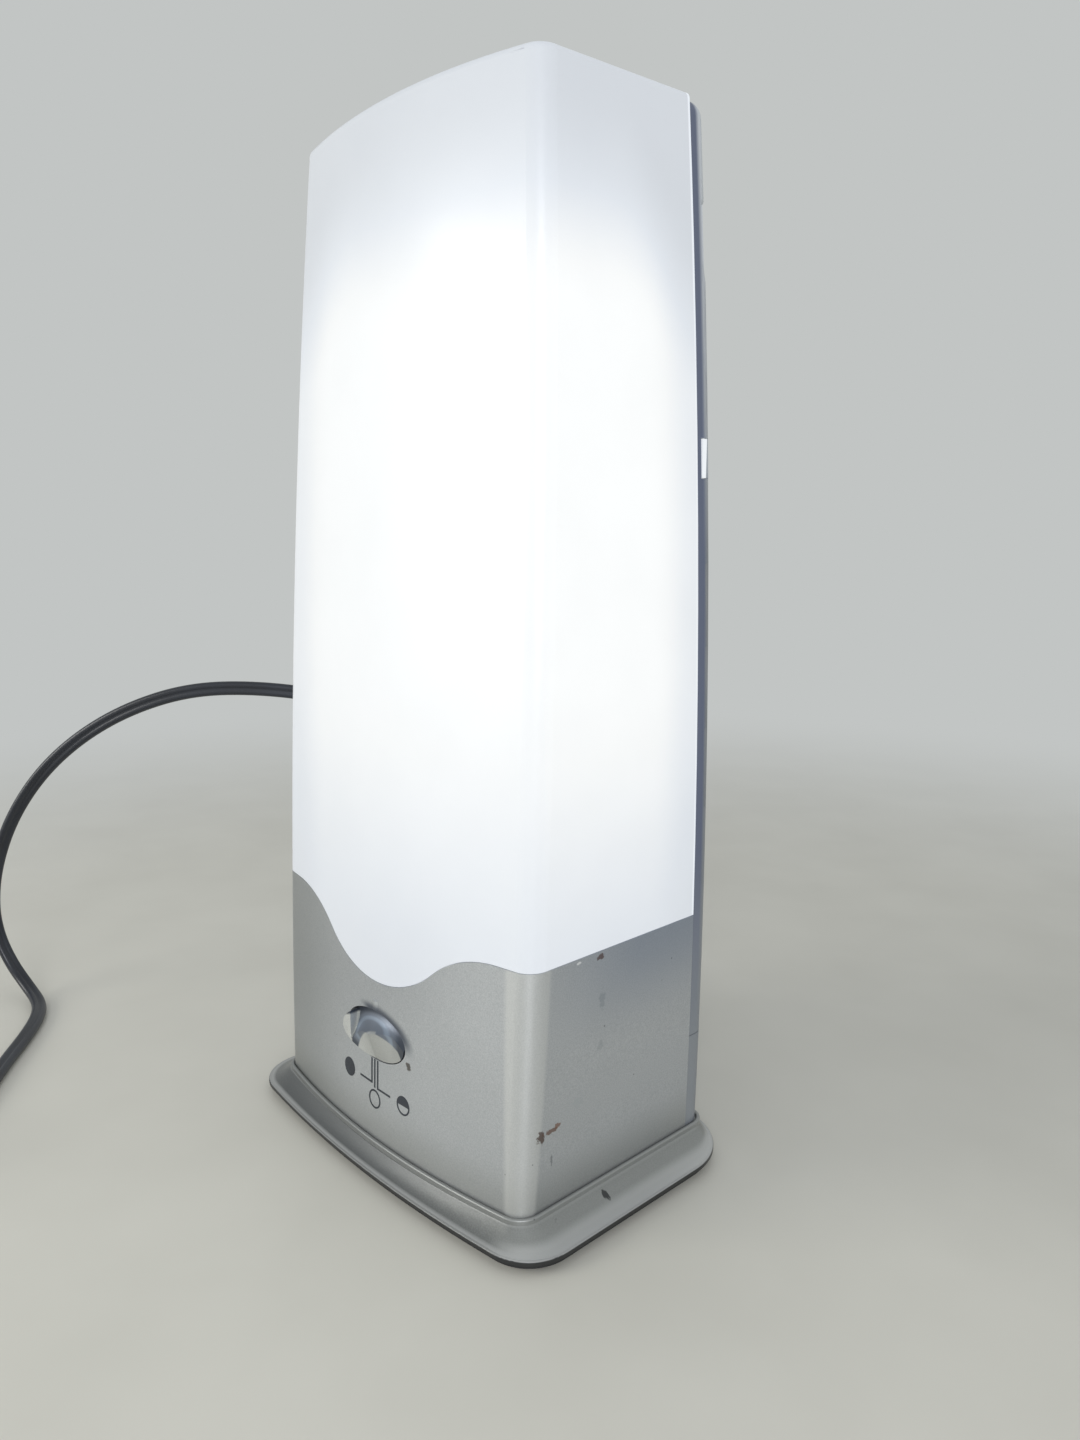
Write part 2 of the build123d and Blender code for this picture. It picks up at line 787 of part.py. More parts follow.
# --- Rocker: two wings that meet in a valley, with a raised thumb ridge ------------------------
tilt = math.radians(rocker_tilt)
rocker_x = (math.cos(tilt), math.sin(tilt), 0)
outward_way = (math.sin(tilt), -math.cos(tilt), 0)
pivot = (0, pivot_y, rocker_z)
rocker_front = Plane(origin=pivot, x_dir=rocker_x, z_dir=outward_way)
rocker_plan = Plane(origin=pivot, x_dir=rocker_x, z_dir=(0, 0, 1))
rocker_side = Plane(origin=pivot, x_dir=(0, 0, 1), z_dir=rocker_x)
cut_reach = 2 * rocker_half_length


def face_at(x):
    """Depth of a wing's face at x from the middle, as a coordinate in the rocker's plan."""
    return -pivot_depth - abs(x) * math.tan(tilt)


def rocker_profile(z, ridge):
    """Plan region in front of the rocker's face, at height z from its middle."""
    edge = ridge_half_width
    ridge_y = -pivot_depth - ridge
    halfway_y = (face_at(edge) + ridge_y) / 2 + ridge_hollow * ridge / ridge_height
    with BuildSketch(rocker_plan.offset(z)) as region:
        with BuildLine():
            Line((-cut_reach, face_at(cut_reach)), (-edge, face_at(edge)))
            ThreePointArc((-edge, face_at(edge)), (-edge / 2, halfway_y), (0, ridge_y))
            ThreePointArc((0, ridge_y), (edge / 2, halfway_y), (edge, face_at(edge)))
            Line((edge, face_at(edge)), (cut_reach, face_at(cut_reach)))
            Polyline(
                (cut_reach, face_at(cut_reach)),
                (cut_reach, -cut_reach),
                (-cut_reach, -cut_reach),
                (-cut_reach, face_at(cut_reach)),
            )
        make_face()
    return region.sketch


with BuildPart() as face_cutter:
    spare = rocker_half_height + slip
    loft(sections=[rocker_profile(-spare, ridge_foot), rocker_profile(spare, ridge_height)])

with BuildPart() as scoop_cutter:
    crest_z = scoop_middle_z + scoop_crest_r
    front_depth = pivot_depth + scoop_front[1]
    with BuildSketch(rocker_side.offset(scoop_middle_x)):
        with BuildLine():
            scoop = ThreePointArc(
                (crest_z + scoop_front[0], front_depth),
                (crest_z + scoop_bend[0], pivot_depth + scoop_bend[1]),
                (crest_z + scoop_floor[0], pivot_depth + scoop_floor[1]),
            )
            Polyline(scoop @ 1, (crest_z + scoop_floor[0], front_depth), scoop @ 0)
        make_face()
    scoop_middle = (rocker_side.offset(scoop_middle_x) * Location((scoop_middle_z, 0, 0))).position
    revolve(axis=Axis(scoop_middle, outward_way), revolution_arc=360)
    with BuildSketch(rocker_front):
        with Locations((rocker_tip_x - cut_reach, 0)):
            Rectangle(2 * cut_reach, 2 * cut_reach)
    extrude(amount=2 * cut_reach, both=True, mode=Mode.SUBTRACT)

with BuildPart() as rocker_button:
    with BuildSketch(rocker_front.offset(-rocker_behind_pivot)):
        Ellipse(rocker_half_length, rocker_half_height)
    extrude(amount=rocker_behind_pivot + pivot_depth + 2 * ridge_height)
    add(face_cutter.part, mode=Mode.SUBTRACT)
    add(scoop_cutter.part, mode=Mode.SUBTRACT)
    blade_length = switch_front_y + blade_reach - pivot_y
    with BuildSketch(rocker_plan.offset(-hub_half_height)):
        Circle(hub_r)
        with Locations((0, blade_length / 2)):
            Rectangle(blade_width, blade_length)
    extrude(amount=2 * hub_half_height)
    bore_plane = rocker_plan.offset(-cut_reach)
    add(rods(bore_plane, [(0, 0)], pivot_r + pivot_running_fit, 2 * cut_reach), mode=Mode.SUBTRACT)

save(rocker_button.part, "rocker_button")
save(rods(pin_plane, [(0, pivot_y)], pivot_r, 2 * lug_reach), "rocker_pin")

# --- Switch ------------------------------------------------------------------------------------
switch_back_y = switch_front_y + switch_depth
with BuildPart() as switch_body:
    with BuildSketch(facing(switch_front_y)):
        with Locations((0, rocker_z)):
            RectangleRounded(switch_length, switch_height, switch_edge_r)
    extrude(amount=-switch_depth)
    with BuildSketch(facing(switch_front_y)):
        with Locations((0, rocker_z)):
            SlotOverall(2 * (switch_ear_x + boss_r), 2 * boss_r)
    extrude(amount=-ear_thickness)
    with BuildSketch(facing(switch_front_y)):
        with Locations(*switch_ear_places):
            Circle(screw_r + slip)
    extrude(amount=-ear_thickness, mode=Mode.SUBTRACT)
    blade_swing = blade_length * math.sin(tilt)
    with BuildSketch(facing(switch_front_y)):
        with Locations((0, rocker_z)):
            slot_length = blade_width + 2 * (blade_swing + blade_side_gap)
            Rectangle(slot_length, 2 * (hub_half_height + blade_side_gap))
    extrude(amount=-blade_reach - blade_end_gap, mode=Mode.SUBTRACT)

save(switch_body.part, "switch_body")

terminal_places = [(i * terminal_spacing, rocker_z) for i in (-1, 0, 1)]
with BuildPart() as switch_terminals:
    with BuildSketch(facing(switch_back_y)):
        with Locations(*terminal_places):
            Rectangle(terminal_thickness, terminal_width)
    extrude(amount=-terminal_length)

save(switch_terminals.part, "switch_terminals")
ear_back_plane = facing(switch_front_y + ear_thickness)
save(screws(ear_back_plane, switch_ear_places, switch_screw_length), "switch_screws")

# --- Lamp shelf and lampholder --------------------------------------------------------------------
shelf_top_z = shelf_z + shelf_thickness
holder_top_z = shelf_top_z + holder_height
holder_screw_places = [(-holder_screw_x, lamp_y), (holder_screw_x, lamp_y)]

with BuildPart() as lamp_shelf:
    extrude(case_section(shelf_inset, shelf_z, cover_inner_y - slip), amount=shelf_thickness)
    shelf_plane = Plane.XY.offset(shelf_z)
    with BuildSketch(shelf_plane):
        with Locations((0, mains_drop_y)):
            Circle(shelf_hole_r)
        with Locations((-lamp_lead_x, lamp_y)):
            SlotOverall(shelf_slot_length, 2 * shelf_hole_r, rotation=90)
        with Locations(*ledge_places, *holder_screw_places):
            Circle(screw_r + slip)
    extrude(amount=shelf_thickness, mode=Mode.SUBTRACT)

save(lamp_shelf.part, "lamp_shelf")

prong_places = [((i - (prong_count - 1) / 2) * prong_spacing, lamp_y) for i in range(prong_count)]
with BuildPart() as lampholder:
    with BuildSketch(Plane.XY.offset(shelf_top_z)):
        with Locations((0, lamp_y)):
            RectangleRounded(holder_length, holder_width, holder_corner_r)
    extrude(amount=holder_height)
    # spring latches that grip the ends of the lamp cap
    latch_in_x = cap_length / 2 + slip
    latch_out_x = latch_in_x + latch_catch
    catch_z = holder_top_z + cap_shoulder_height + slip
    for side in (-1, 1):
        with BuildSketch(facing(lamp_y + latch_width / 2)):
            with BuildLine():
                Polyline(
                    (side * latch_in_x, holder_top_z - latch_root),
                    (side * latch_in_x, catch_z),
                    (side * (latch_in_x - latch_catch), catch_z),
                    (side * latch_in_x, catch_z + latch_nose),
                    (side * latch_out_x, catch_z + latch_nose),
                    (side * latch_out_x, holder_top_z - latch_root),
                    close=True,
                )
            make_face()
        extrude(amount=latch_width)
    with BuildSketch(Plane.XY.offset(holder_top_z)):
        with Locations(*prong_places):
            Circle(prong_r + screw_fit)
    extrude(amount=-prong_length - slip, mode=Mode.SUBTRACT)
    shelf_top_plane = Plane.XY.offset(shelf_top_z)
    add(
        rods(shelf_top_plane, holder_screw_places, screw_r + screw_fit, holder_screw_length),
        mode=Mode.SUBTRACT,
    )

save(lampholder.part, "lampholder")

holder_shank = shelf_thickness + holder_screw_length - slip
save(screws(shelf_plane, holder_screw_places, holder_shank), "holder_screws")

downward_shelf = Plane(origin=(0, 0, shelf_top_z), x_dir=(1, 0, 0), z_dir=(0, 0, -1))
save(screws(downward_shelf, [(x, -y) for x, y in ledge_places], shelf_screw_length), "shelf_screws")

# --- Lamp: four glass tubes side by side on one cap --------------------------------------------------
cap_top_z = holder_top_z + cap_height
lamp_top_z = holder_top_z + lamp_length
with BuildPart() as lamp_cap:
    with BuildSketch(Plane.XY.offset(holder_top_z)):
        with Locations((0, lamp_y)):
            SlotOverall(cap_length, cap_width)
    extrude(amount=cap_shoulder_height)
    with BuildSketch(Plane.XY.offset(holder_top_z + cap_shoulder_height)):
        with Locations((0, lamp_y)):
            SlotOverall(cap_length - 3 * latch_catch, cap_width - latch_catch)
    extrude(amount=cap_height - cap_shoulder_height)

save(lamp_cap.part, "lamp_cap")

with BuildPart() as lamp_prongs:
    with BuildSketch(Plane.XY.offset(holder_top_z)):
        with Locations(*prong_places):
            Circle(prong_r)
    extrude(amount=-prong_length)
    chamfer(lamp_prongs.faces().sort_by(Axis.Z)[:prong_count].edges(), length=prong_r / 3)

save(lamp_prongs.part, "lamp_prongs")

tube_places = [((i - (tube_count - 1) / 2) * tube_pitch, lamp_y) for i in range(tube_count)]
with BuildPart() as lamp_tubes:
    with BuildSketch(Plane.XY.offset(cap_top_z)):
        with Locations(*tube_places):
            Circle(tube_r)
    extrude(amount=lamp_top_z - cap_top_z)
    fillet(lamp_tubes.faces().sort_by(Axis.Z)[-tube_count:].edges(), radius=tube_end_r)
    # each pair of tubes is joined near its top
    for x, _ in tube_places[::2]:
        with BuildSketch(Plane.YZ.offset(x)):
            with Locations((lamp_y, lamp_top_z - bridge_drop)):
                Circle(bridge_r)
        extrude(amount=tube_pitch)

save(lamp_tubes.part, "lamp_tubes")


# --- Reflector ------------------------------------------------------------------------------------------
def reflector_section(z):
    """Bent sheet profile at height z: flat back with two wings that reach towards the lens."""
    wing_x = half_width(z) - lens_wall - wing_clearance
    slope = math.hypot(1, (reflector_y - wing_y) / (wing_x - reflector_flat))
    wing_back_y = wing_y + reflector_sheet * slope
    with BuildSketch(Plane.XY.offset(z)) as section:
        with BuildLine():
            Polyline(
                (-wing_x, wing_y),
                (-reflector_flat, reflector_y),
                (reflector_flat, reflector_y),
                (wing_x, wing_y),
                (wing_x, wing_back_y),
                (reflector_flat, reflector_back_y),
                (-reflector_flat, reflector_back_y),
                (-wing_x, wing_back_y),
                close=True,
            )
        make_face()
    return section.sketch


with BuildPart() as reflector:
    loft(sections=[reflector_section(z) for z in (reflector_low_z, reflector_top_z)], ruled=True)
    with BuildSketch(facing(reflector_y)):
        with Locations(*post_places):
            Circle(screw_r + slip)
    extrude(amount=-reflector_sheet, mode=Mode.SUBTRACT)

save(reflector.part, "reflector")

backward_reflector = Plane(origin=(0, reflector_y, 0), x_dir=(-1, 0, 0), z_dir=(0, 1, 0))
save(screws(backward_reflector, post_places, reflector_sheet + post_hole - slip), "reflector_screws")

with BuildPart() as tube_clip:
    ring_in = tube_r + slip
    outer_tube_x = tube_places[-1][0]
    outer_tubes = (tube_places[0], tube_places[-1])
    with BuildSketch(Plane.XY.offset(clip_z)):
        with Locations(*outer_tubes):
            Circle(ring_in + clip_sheet)
            Circle(ring_in, mode=Mode.SUBTRACT)
        with Locations((0, lamp_y - clip_mouth - ring_in)):
            Rectangle(4 * outer_tube_x, 2 * ring_in, mode=Mode.SUBTRACT)
        leg_front_y = lamp_y + ring_in + clip_sheet / 2
        with Locations(*mirrored(outer_tube_x, ((leg_front_y + reflector_y) / 2,))):
            Rectangle(clip_leg, reflector_y - leg_front_y)
        with Locations((0, reflector_y - clip_sheet / 2)):
            Rectangle(2 * outer_tube_x + clip_height, clip_sheet)
    extrude(amount=clip_height)

save(tube_clip.part, "tube_clip")

# --- Ballast board in the base ---------------------------------------------------------------------------
board_low_z = case_base_z + standoff_height
board_top_z = board_low_z + board_thickness
board_top = Plane(origin=(0, board_y, board_top_z), x_dir=(1, 0, 0), z_dir=(0, 0, 1))
board_screw_x = board_length / 2 - board_screw_inset
board_screw_y = board_width / 2 - board_screw_inset
board_screw_places = mirrored(board_screw_x, (board_y - board_screw_y, board_y + board_screw_y))

with BuildPart() as board_standoffs:
    with BuildSketch(Plane.XY.offset(case_base_z)):
        with Locations(*board_screw_places):
            RegularPolygon(standoff_r, 6)
            Circle(screw_r + screw_fit, mode=Mode.SUBTRACT)
    extrude(amount=standoff_height)

save(board_standoffs.part, "board_standoffs")

with BuildPart() as ballast_board:
    with BuildSketch(Plane.XY.offset(board_low_z)):
        with Locations((0, board_y)):
            RectangleRounded(board_length, board_width, board_corner_r)
        with Locations(*board_screw_places):
            Circle(screw_r + slip, mode=Mode.SUBTRACT)
    extrude(amount=board_thickness)

save(ballast_board.part, "ballast_board")

downward_board = Plane(origin=(0, 0, board_top_z), x_dir=(1, 0, 0), z_dir=(0, 0, -1))
save(screws(downward_board, [(x, -y) for x, y in board_screw_places], board_screw_length), "board_screws")

with BuildPart() as ballast_inductors:
    core_length, core_width, core_height = inductor_core
    winding_length, winding_width, winding_height = winding
    with BuildSketch(board_top):
        with Locations(*inductor_places):
            Rectangle(core_length, core_width)
    extrude(amount=core_height)
    with BuildSketch(board_top.offset((core_height - winding_height) / 2)):
        with Locations(*inductor_places):
            RectangleRounded(winding_length, winding_width, winding_r)
    extrude(amount=winding_height)

save(ballast_inductors.part, "ballast_inductors")

with BuildPart() as ballast_capacitors:
    for x, y, radius, tall in capacitors:
        with BuildSketch(board_top):
            with Locations((x, y)):
                Circle(radius)
        extrude(amount=tall)
    upper_faces = ballast_capacitors.faces().filter_by(Axis.Z).sort_by(Axis.Z)[-len(capacitors):]
    fillet(upper_faces.edges(), radius=capacitor_edge_r)

save(ballast_capacitors.part, "ballast_capacitors")

heatsink_x, heatsink_y = heatsink_place
with BuildPart() as ballast_heatsink:
    with BuildSketch(board_top):
        with Locations(heatsink_place):
            Rectangle(heatsink_length, heatsink_plate)
        with Locations((heatsink_x, heatsink_y + (heatsink_plate + fin_depth) / 2 - slip)):
            with GridLocations(fin_pitch, 0, fin_count, 1):
                Rectangle(fin_thickness, fin_depth)
    extrude(amount=heatsink_height)

save(ballast_heatsink.part, "ballast_heatsink")

with BuildPart() as ballast_transistors:
    body_length, body_thickness, body_height = transistor
    transistor_place = (heatsink_x, heatsink_y - (heatsink_plate + body_thickness) / 2)
    with BuildSketch(board_top.offset(transistor_lift)):
        with Locations(transistor_place):
            with GridLocations(transistor_spacing, 0, 2, 1):
                Rectangle(body_length, body_thickness)
    extrude(amount=body_height)
    with BuildSketch(board_top):
        with Locations(transistor_place):
            with GridLocations(transistor_spacing, 0, 2, 1):
                with GridLocations(transistor_leg_pitch, 0, 3, 1):
                    Rectangle(*transistor_leg)
    extrude(amount=transistor_lift)

save(ballast_transistors.part, "ballast_transistors")

with BuildPart() as terminal_block:
    with BuildSketch(board_top):
        with Locations(block_place):
            Rectangle(block_length, block_width)
    extrude(amount=block_height)
    with BuildSketch(board_top.offset(block_height)):
        with Locations(block_place):
            with GridLocations(block_length / block_ways, 0, block_ways, 1):
                Circle(block_screw_r)
    extrude(amount=-block_screw_depth, mode=Mode.SUBTRACT)

save(terminal_block.part, "terminal_block")


# --- Inner leads ---------------------------------------------------------------------------
def bend_radii(points):
    """The largest even bends that the runs of a route leave room for."""
    radii = []
    for before, here, after in zip(points, points[1:], points[2:]):
        arriving = Vector(here) - Vector(before)
        leaving = Vector(after) - Vector(here)
        half_turn = math.radians(arriving.get_angle(leaving)) / 2
        radii.append(0.45 * min(arriving.length, leaving.length) / math.tan(half_turn))
    return radii


def lead(points, radius):
    """Round lead along a route of straight runs joined by arcs."""
    with BuildPart() as tube:
        with BuildLine() as route:
            FilletPolyline(*points, radius=bend_radii(points))
        way = route.wires()[0]
        with BuildSketch(Plane(origin=way @ 0, z_dir=way % 0)):
            Circle(radius)
        sweep(path=way)
    return tube.part


terminal_end_y = switch_back_y + terminal_length
with BuildPart() as switch_leads:
    for x, z in terminal_places:
        turn_y = terminal_end_y + lead_bend
        add(lead([(x, terminal_end_y, z), (x, turn_y, z), (x, turn_y, board_top_z)], lead_r))

save(switch_leads.part, "switch_leads")

with BuildPart() as lamp_leads:
    holder_middle_z = shelf_top_z + holder_height / 2
    for i in range(lamp_lead_count):
        y = lamp_y + (i - (lamp_lead_count - 1) / 2) * lamp_lead_pitch
        lamp_lead_way = [
            (-lamp_lead_foot_x, y, board_top_z),
            (-lamp_lead_foot_x, y, (board_top_z + shelf_z) / 2),
            (-lamp_lead_x, y, shelf_z - shelf_slot_length),
            (-lamp_lead_x, y, holder_middle_z),
            (-holder_length / 2, y, holder_middle_z),
        ]
        add(lead(lamp_lead_way, lead_r))

save(lamp_leads.part, "lamp_leads")

block_face = (mains_lead_way[-1][0], board_y + block_place[1] + block_width / 2, mains_lead_way[-1][2])
mains_corner = (0, mains_drop_y, cord_exit_z)
mains_lead = lead([(0, relief_inner_y, cord_exit_z), mains_corner, *mains_lead_way, block_face], mains_lead_r)
save(mains_lead, "mains_lead")

# --- Strain relief and cord -------------------------------------------------------------------------------
relief_end_y = back_y + relief_length
with BuildPart() as strain_relief:
    barb_y = cover_inner_y - slip
    flange_y = back_y + relief_flange
    inner_r = relief_neck_r - slip
    with BuildSketch(Plane(origin=(0, 0, cord_exit_z), x_dir=(0, 1, 0), z_dir=(1, 0, 0))):
        with BuildLine():
            Polyline(
                (relief_inner_y, 0),
                (relief_inner_y, inner_r),
                (barb_y - relief_barb_length, inner_r),
                (barb_y - relief_barb_length, relief_barb_r),
                (barb_y, relief_barb_r),
                (barb_y, relief_neck_r),
                (back_y, relief_neck_r),
                (back_y, relief_flange_r),
                (flange_y, relief_flange_r),
                (flange_y, relief_sleeve_r),
                (relief_end_y, cord_r + relief_wall),
                (relief_end_y, 0),
                close=True,
            )
        make_face()
    revolve(axis=Axis((0, 0, cord_exit_z), (0, 1, 0)), revolution_arc=360)
    # ring grooves that let the sleeve flex
    for i in range(relief_grooves):
        with BuildSketch(facing(back_y + groove_first + i * groove_pitch)):
            with Locations((0, cord_exit_z)):
                Circle(relief_flange_r)
                Circle(cord_r + relief_wall / 2, mode=Mode.SUBTRACT)
        extrude(amount=-groove_width, mode=Mode.SUBTRACT)

save(strain_relief.part, "strain_relief")

coil_x, coil_y = coil_centre
coil_outer_turn_r = coil_middle_r + turn_pitch
cord_floor_z = floor_gap + cord_r
coil_entry_x = coil_x + coil_outer_turn_r
cord_route = [
    (0, relief_end_y, cord_exit_z),
    (0, 88.5, 142),
    (-7, 102.3, 142.6),
    (-19.6, 111.4, 143.6),
    (-34.9, 113.8, 145.2),
    (-49.8, 108.5, 147.5),
    (-67, 91.5, 151),
    (-86, 69.5, 156),
    (-108, 45.5, 162),
    (-136, 15.5, 168.6),
    (-164, -11.5, 173),
    (-190, -35, 171.5),
    (-214, -57, 161.5),
    (-235, -76, 146),
    (-253, -92, 125.5),
    (-267, -104.5, 100),
    (-275.5, -112, 73.5),
    (-278.5, -114.8, 50),
    (-276.6, -113.6, 32.5),
    (-270.2, -109.8, 17.4),
    (-258.6, -106, 7.2),
    (-243, -105.4, 3.1),
    (-227.5, -110.6, cord_floor_z),
    (-209, -122, cord_floor_z),
    (-189, -137, cord_floor_z),
    (-167, -152, cord_floor_z),
    (-143.5, -168.5, cord_floor_z),
    (-126, -186, cord_floor_z),
    (coil_entry_x, coil_y + 22, cord_floor_z),
    (coil_entry_x, coil_y, cord_floor_z),
]
power_cord = lead(cord_route, cord_r)
save(power_cord, "power_cord")

# the length that is not laid out is wound in a flat ring, with its turns in two layers
ring_width = coil_turns * turn_pitch
leave_angle = math.radians(coil_leave_angle)
leave_way = (math.cos(leave_angle), math.sin(leave_angle), 0)
notch_inner = coil_outer_turn_r - cord_r - coil_notch_clearance
with BuildPart() as cord_coil:
    with BuildSketch(Plane(origin=(coil_x, coil_y, 0), x_dir=(1, 0, 0), z_dir=(0, -1, 0))):
        with Locations((coil_middle_r, floor_gap + coil_layer)):
            RectangleRounded(ring_width, 2 * coil_layer, cord_r)
    revolve(axis=Axis((coil_x, coil_y, 0), (0, 0, 1)), revolution_arc=360)
    # notches where the outer turn of each layer leaves the ring
    with BuildSketch(Plane.XY):
        with Locations((coil_x + notch_inner + coil_notch / 2, coil_y + coil_notch / 2)):
            Rectangle(coil_notch, coil_notch)
    extrude(amount=coil_layer, mode=Mode.SUBTRACT)
    upper_layer = (coil_x, coil_y, floor_gap + coil_layer)
    with BuildSketch(Plane(origin=upper_layer, x_dir=leave_way, z_dir=(0, 0, 1))):
        with Locations((notch_inner + coil_notch / 2, -coil_notch / 2)):
            Rectangle(coil_notch, coil_notch)
    extrude(amount=2 * coil_layer, mode=Mode.SUBTRACT)

save(cord_coil.part, "cord_coil")

leave_x = coil_x + coil_outer_turn_r * leave_way[0]
leave_y = coil_y + coil_outer_turn_r * leave_way[1]
leave_z = floor_gap + 1.5 * coil_layer
plug_z = floor_gap + plug_thickness / 2
plug_route = [
    (leave_x, leave_y, leave_z),
    (leave_x - 12.5, leave_y + 12.5, leave_z),
    (leave_x - 26, leave_y + 24, plug_z),
    (leave_x - 40, leave_y + 39, plug_z),
]
plug_lead = lead(plug_route, cord_r)
save(plug_lead, "plug_lead")

plug_start = Vector(plug_route[-1])
plug_way = plug_start - Vector(plug_route[-2])
plug_plane = Plane(origin=plug_start, x_dir=plug_way.cross(Vector(0, 0, 1)), z_dir=plug_way)
with BuildPart() as plug_body:
    with BuildSketch(plug_plane):
        RectangleRounded(*plug_neck, plug_neck_r)
    with BuildSketch(plug_plane.offset(plug_neck_length)):
        RectangleRounded(plug_width * plug_shoulder, plug_thickness * plug_shoulder, plug_corner_r)
    loft()
    with BuildSketch(plug_plane.offset(plug_neck_length)):
        RectangleRounded(plug_width, plug_thickness, plug_corner_r)
    extrude(amount=plug_length - plug_neck_length)

save(plug_body.part, "plug_body")

with BuildPart() as plug_blades:
    with BuildSketch(plug_plane.offset(plug_length)):
        with GridLocations(plug_blade_spacing, 0, 2, 1):
            Rectangle(*plug_blade)
    extrude(amount=plug_blade_length)

save(plug_blades.part, "plug_blades")

cord_area = math.pi * cord_r**2
for name, tube, route in (("power cord", power_cord, cord_route), ("plug lead", plug_lead, plug_route)):
    print(name, "length by volume", round(tube.volume / cord_area, 1))
    print(name, "bend radii", [round(radius, 1) for radius in bend_radii(route)])
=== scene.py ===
"""Looks of the light therapy lamp: its finishes, the marks under the switch, the flat mains cord
and a plain studio. Lengths are in millimetres and turned to metres where Blender takes them.
"""

import math

import bmesh
import bpy
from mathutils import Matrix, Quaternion, Vector
from mathutils.bvhtree import BVHTree


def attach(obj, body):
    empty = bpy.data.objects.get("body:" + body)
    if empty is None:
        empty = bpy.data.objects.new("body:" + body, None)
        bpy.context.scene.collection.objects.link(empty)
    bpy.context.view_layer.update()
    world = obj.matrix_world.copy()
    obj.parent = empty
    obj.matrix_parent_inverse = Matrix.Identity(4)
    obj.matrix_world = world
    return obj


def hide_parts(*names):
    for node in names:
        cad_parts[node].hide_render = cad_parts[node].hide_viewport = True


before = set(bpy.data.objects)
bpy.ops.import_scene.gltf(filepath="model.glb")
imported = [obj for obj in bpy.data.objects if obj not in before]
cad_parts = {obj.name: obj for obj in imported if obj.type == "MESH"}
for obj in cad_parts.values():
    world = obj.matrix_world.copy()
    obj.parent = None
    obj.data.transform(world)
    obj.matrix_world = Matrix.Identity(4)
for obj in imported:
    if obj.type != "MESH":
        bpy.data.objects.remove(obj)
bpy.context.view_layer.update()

MM = 0.001
UP = Vector((0, 0, 1))

# --- Camera ------------------------------------------------------------------------------------
camera_place = (324.6, -266.6, 250.5)
camera_turn = 47.04  # to the left of straight back
camera_dip = 10.09  # below level
camera_lens = 26.09  # for a 36 mm sensor along the picture's height

# --- Ways across the lamp, seen from its front -------------------------------------------------
rightwards = (1, 0, 0)
backwards = (0, 1, 0)
upwards = (0, 0, 1)
any_depth = 1e6  # a half size that leaves out how deep a place lies

# --- Lacquer, lens and rocker ------------------------------------------------------------------
flake_size = 0.5  # real flakes are under 0.1 mm, which doesn't show
wall_glow = 0.27  # the lens away from the tubes
tube_glow = 0.24  # and what the tubes add
arch_drop = 30.0  # how much lower the glow ends at the lens's edges
rocker_middle = (0.0, 0.0, 56.4)
rocker_half_sizes = (18.4, any_depth, 9.5)
lit_scoop_middle = (4.7, 0.0, 44.8)  # round part of the scoop that stays lit, free of the painted shade
lit_scoop_r = 14.5

# --- Cord --------------------------------------------------------------------------------------
floor_gap = 0.1
core_r = 1.9  # each of the cord's two cores
core_x = 1.7  # and how far it lies from the middle
groove_depth = 0.75
coil_centre = (-153.6, -230.0)
coil_layer = 7.4
coil_outer_r = 37.2
coil_inner_r = 28.8
coil_turn_step = 4.2
coil_leave_angle = 225.0
coil_points_per_turn = 16
coil_whole_turns = 5
plug_middle_z = 8.1

# Distances along the cord between which it turns from its edge to its flat, and back.
arch_end = 300
floor_start = 500
floor_end = 685
coil_start = 760
coil_end_to_plug = 56

# --- Marks under the switch --------------------------------------------------------------------
ink_proud = 0.12
ink_root = 0.1
line_width = 0.8
line_gap = 2.0
line_top_z = 46.2
line_end_z = 34.2
left_elbow_z = 35.9
right_elbow_z = 34.4
line_reach = 10.3
mark_r = 3.9
mark_ring = 0.7
mark_segments = 40
off_mark = (0.0, 29.4)
full_mark = (-18.5, 35.9)
half_mark = (18.5, 34.0)


# --- Nodes -------------------------------------------------------------------------------------
def linear(hex_colour):
    """Linear colour, with alpha, of an sRGB hex colour."""
    channels = [int(hex_colour[i : i + 2], 16) / 255 for i in (1, 3, 5)]
    return [c / 12.92 if c <= 0.04045 else ((c + 0.055) / 1.055) ** 2.4 for c in channels] + [1.0]


def connect(tree, node, inputs):
    """Gives a node's inputs their values, or links them to other nodes' outputs."""
    for name, value in inputs.items():
        if isinstance(value, bpy.types.NodeSocket):
            tree.links.new(value, node.inputs[name])
        else:
            node.inputs[name].default_value = value


def add(tree, kind, settings=None, inputs=None, output=0):
    """Adds a node with its settings and links, and gives one of its outputs."""
    node = tree.nodes.new(kind)
    for name, value in (settings or {}).items():
        setattr(node, name, value)
    connect(tree, node, inputs or {})
    return node.outputs[output]


def material(name, sockets):
    """A material with its constants on its shader's own sockets, and the place on the object."""
    made = bpy.data.materials.new(name)
    made.use_nodes = True
    tree = made.node_tree
    shader = tree.nodes["Principled BSDF"]
    connect(tree, shader, sockets)
    return made, tree, shader, add(tree, "ShaderNodeTexCoord", output="Object")


def wavering(tree, place, size, low, high, detail=2.0, ends=(0.3, 0.7)):
    """A number that wavers from low to high in blotches of a size: ends are where it stops."""
    inputs = {"Vector": place, "Scale": 1 / (size * MM), "Detail": detail}
    noise = add(tree, "ShaderNodeTexNoise", inputs=inputs)
    inputs = {"Value": noise, "From Min": ends[0], "From Max": ends[1], "To Min": low, "To Max": high}
    return add(tree, "ShaderNodeMapRange", inputs=inputs)


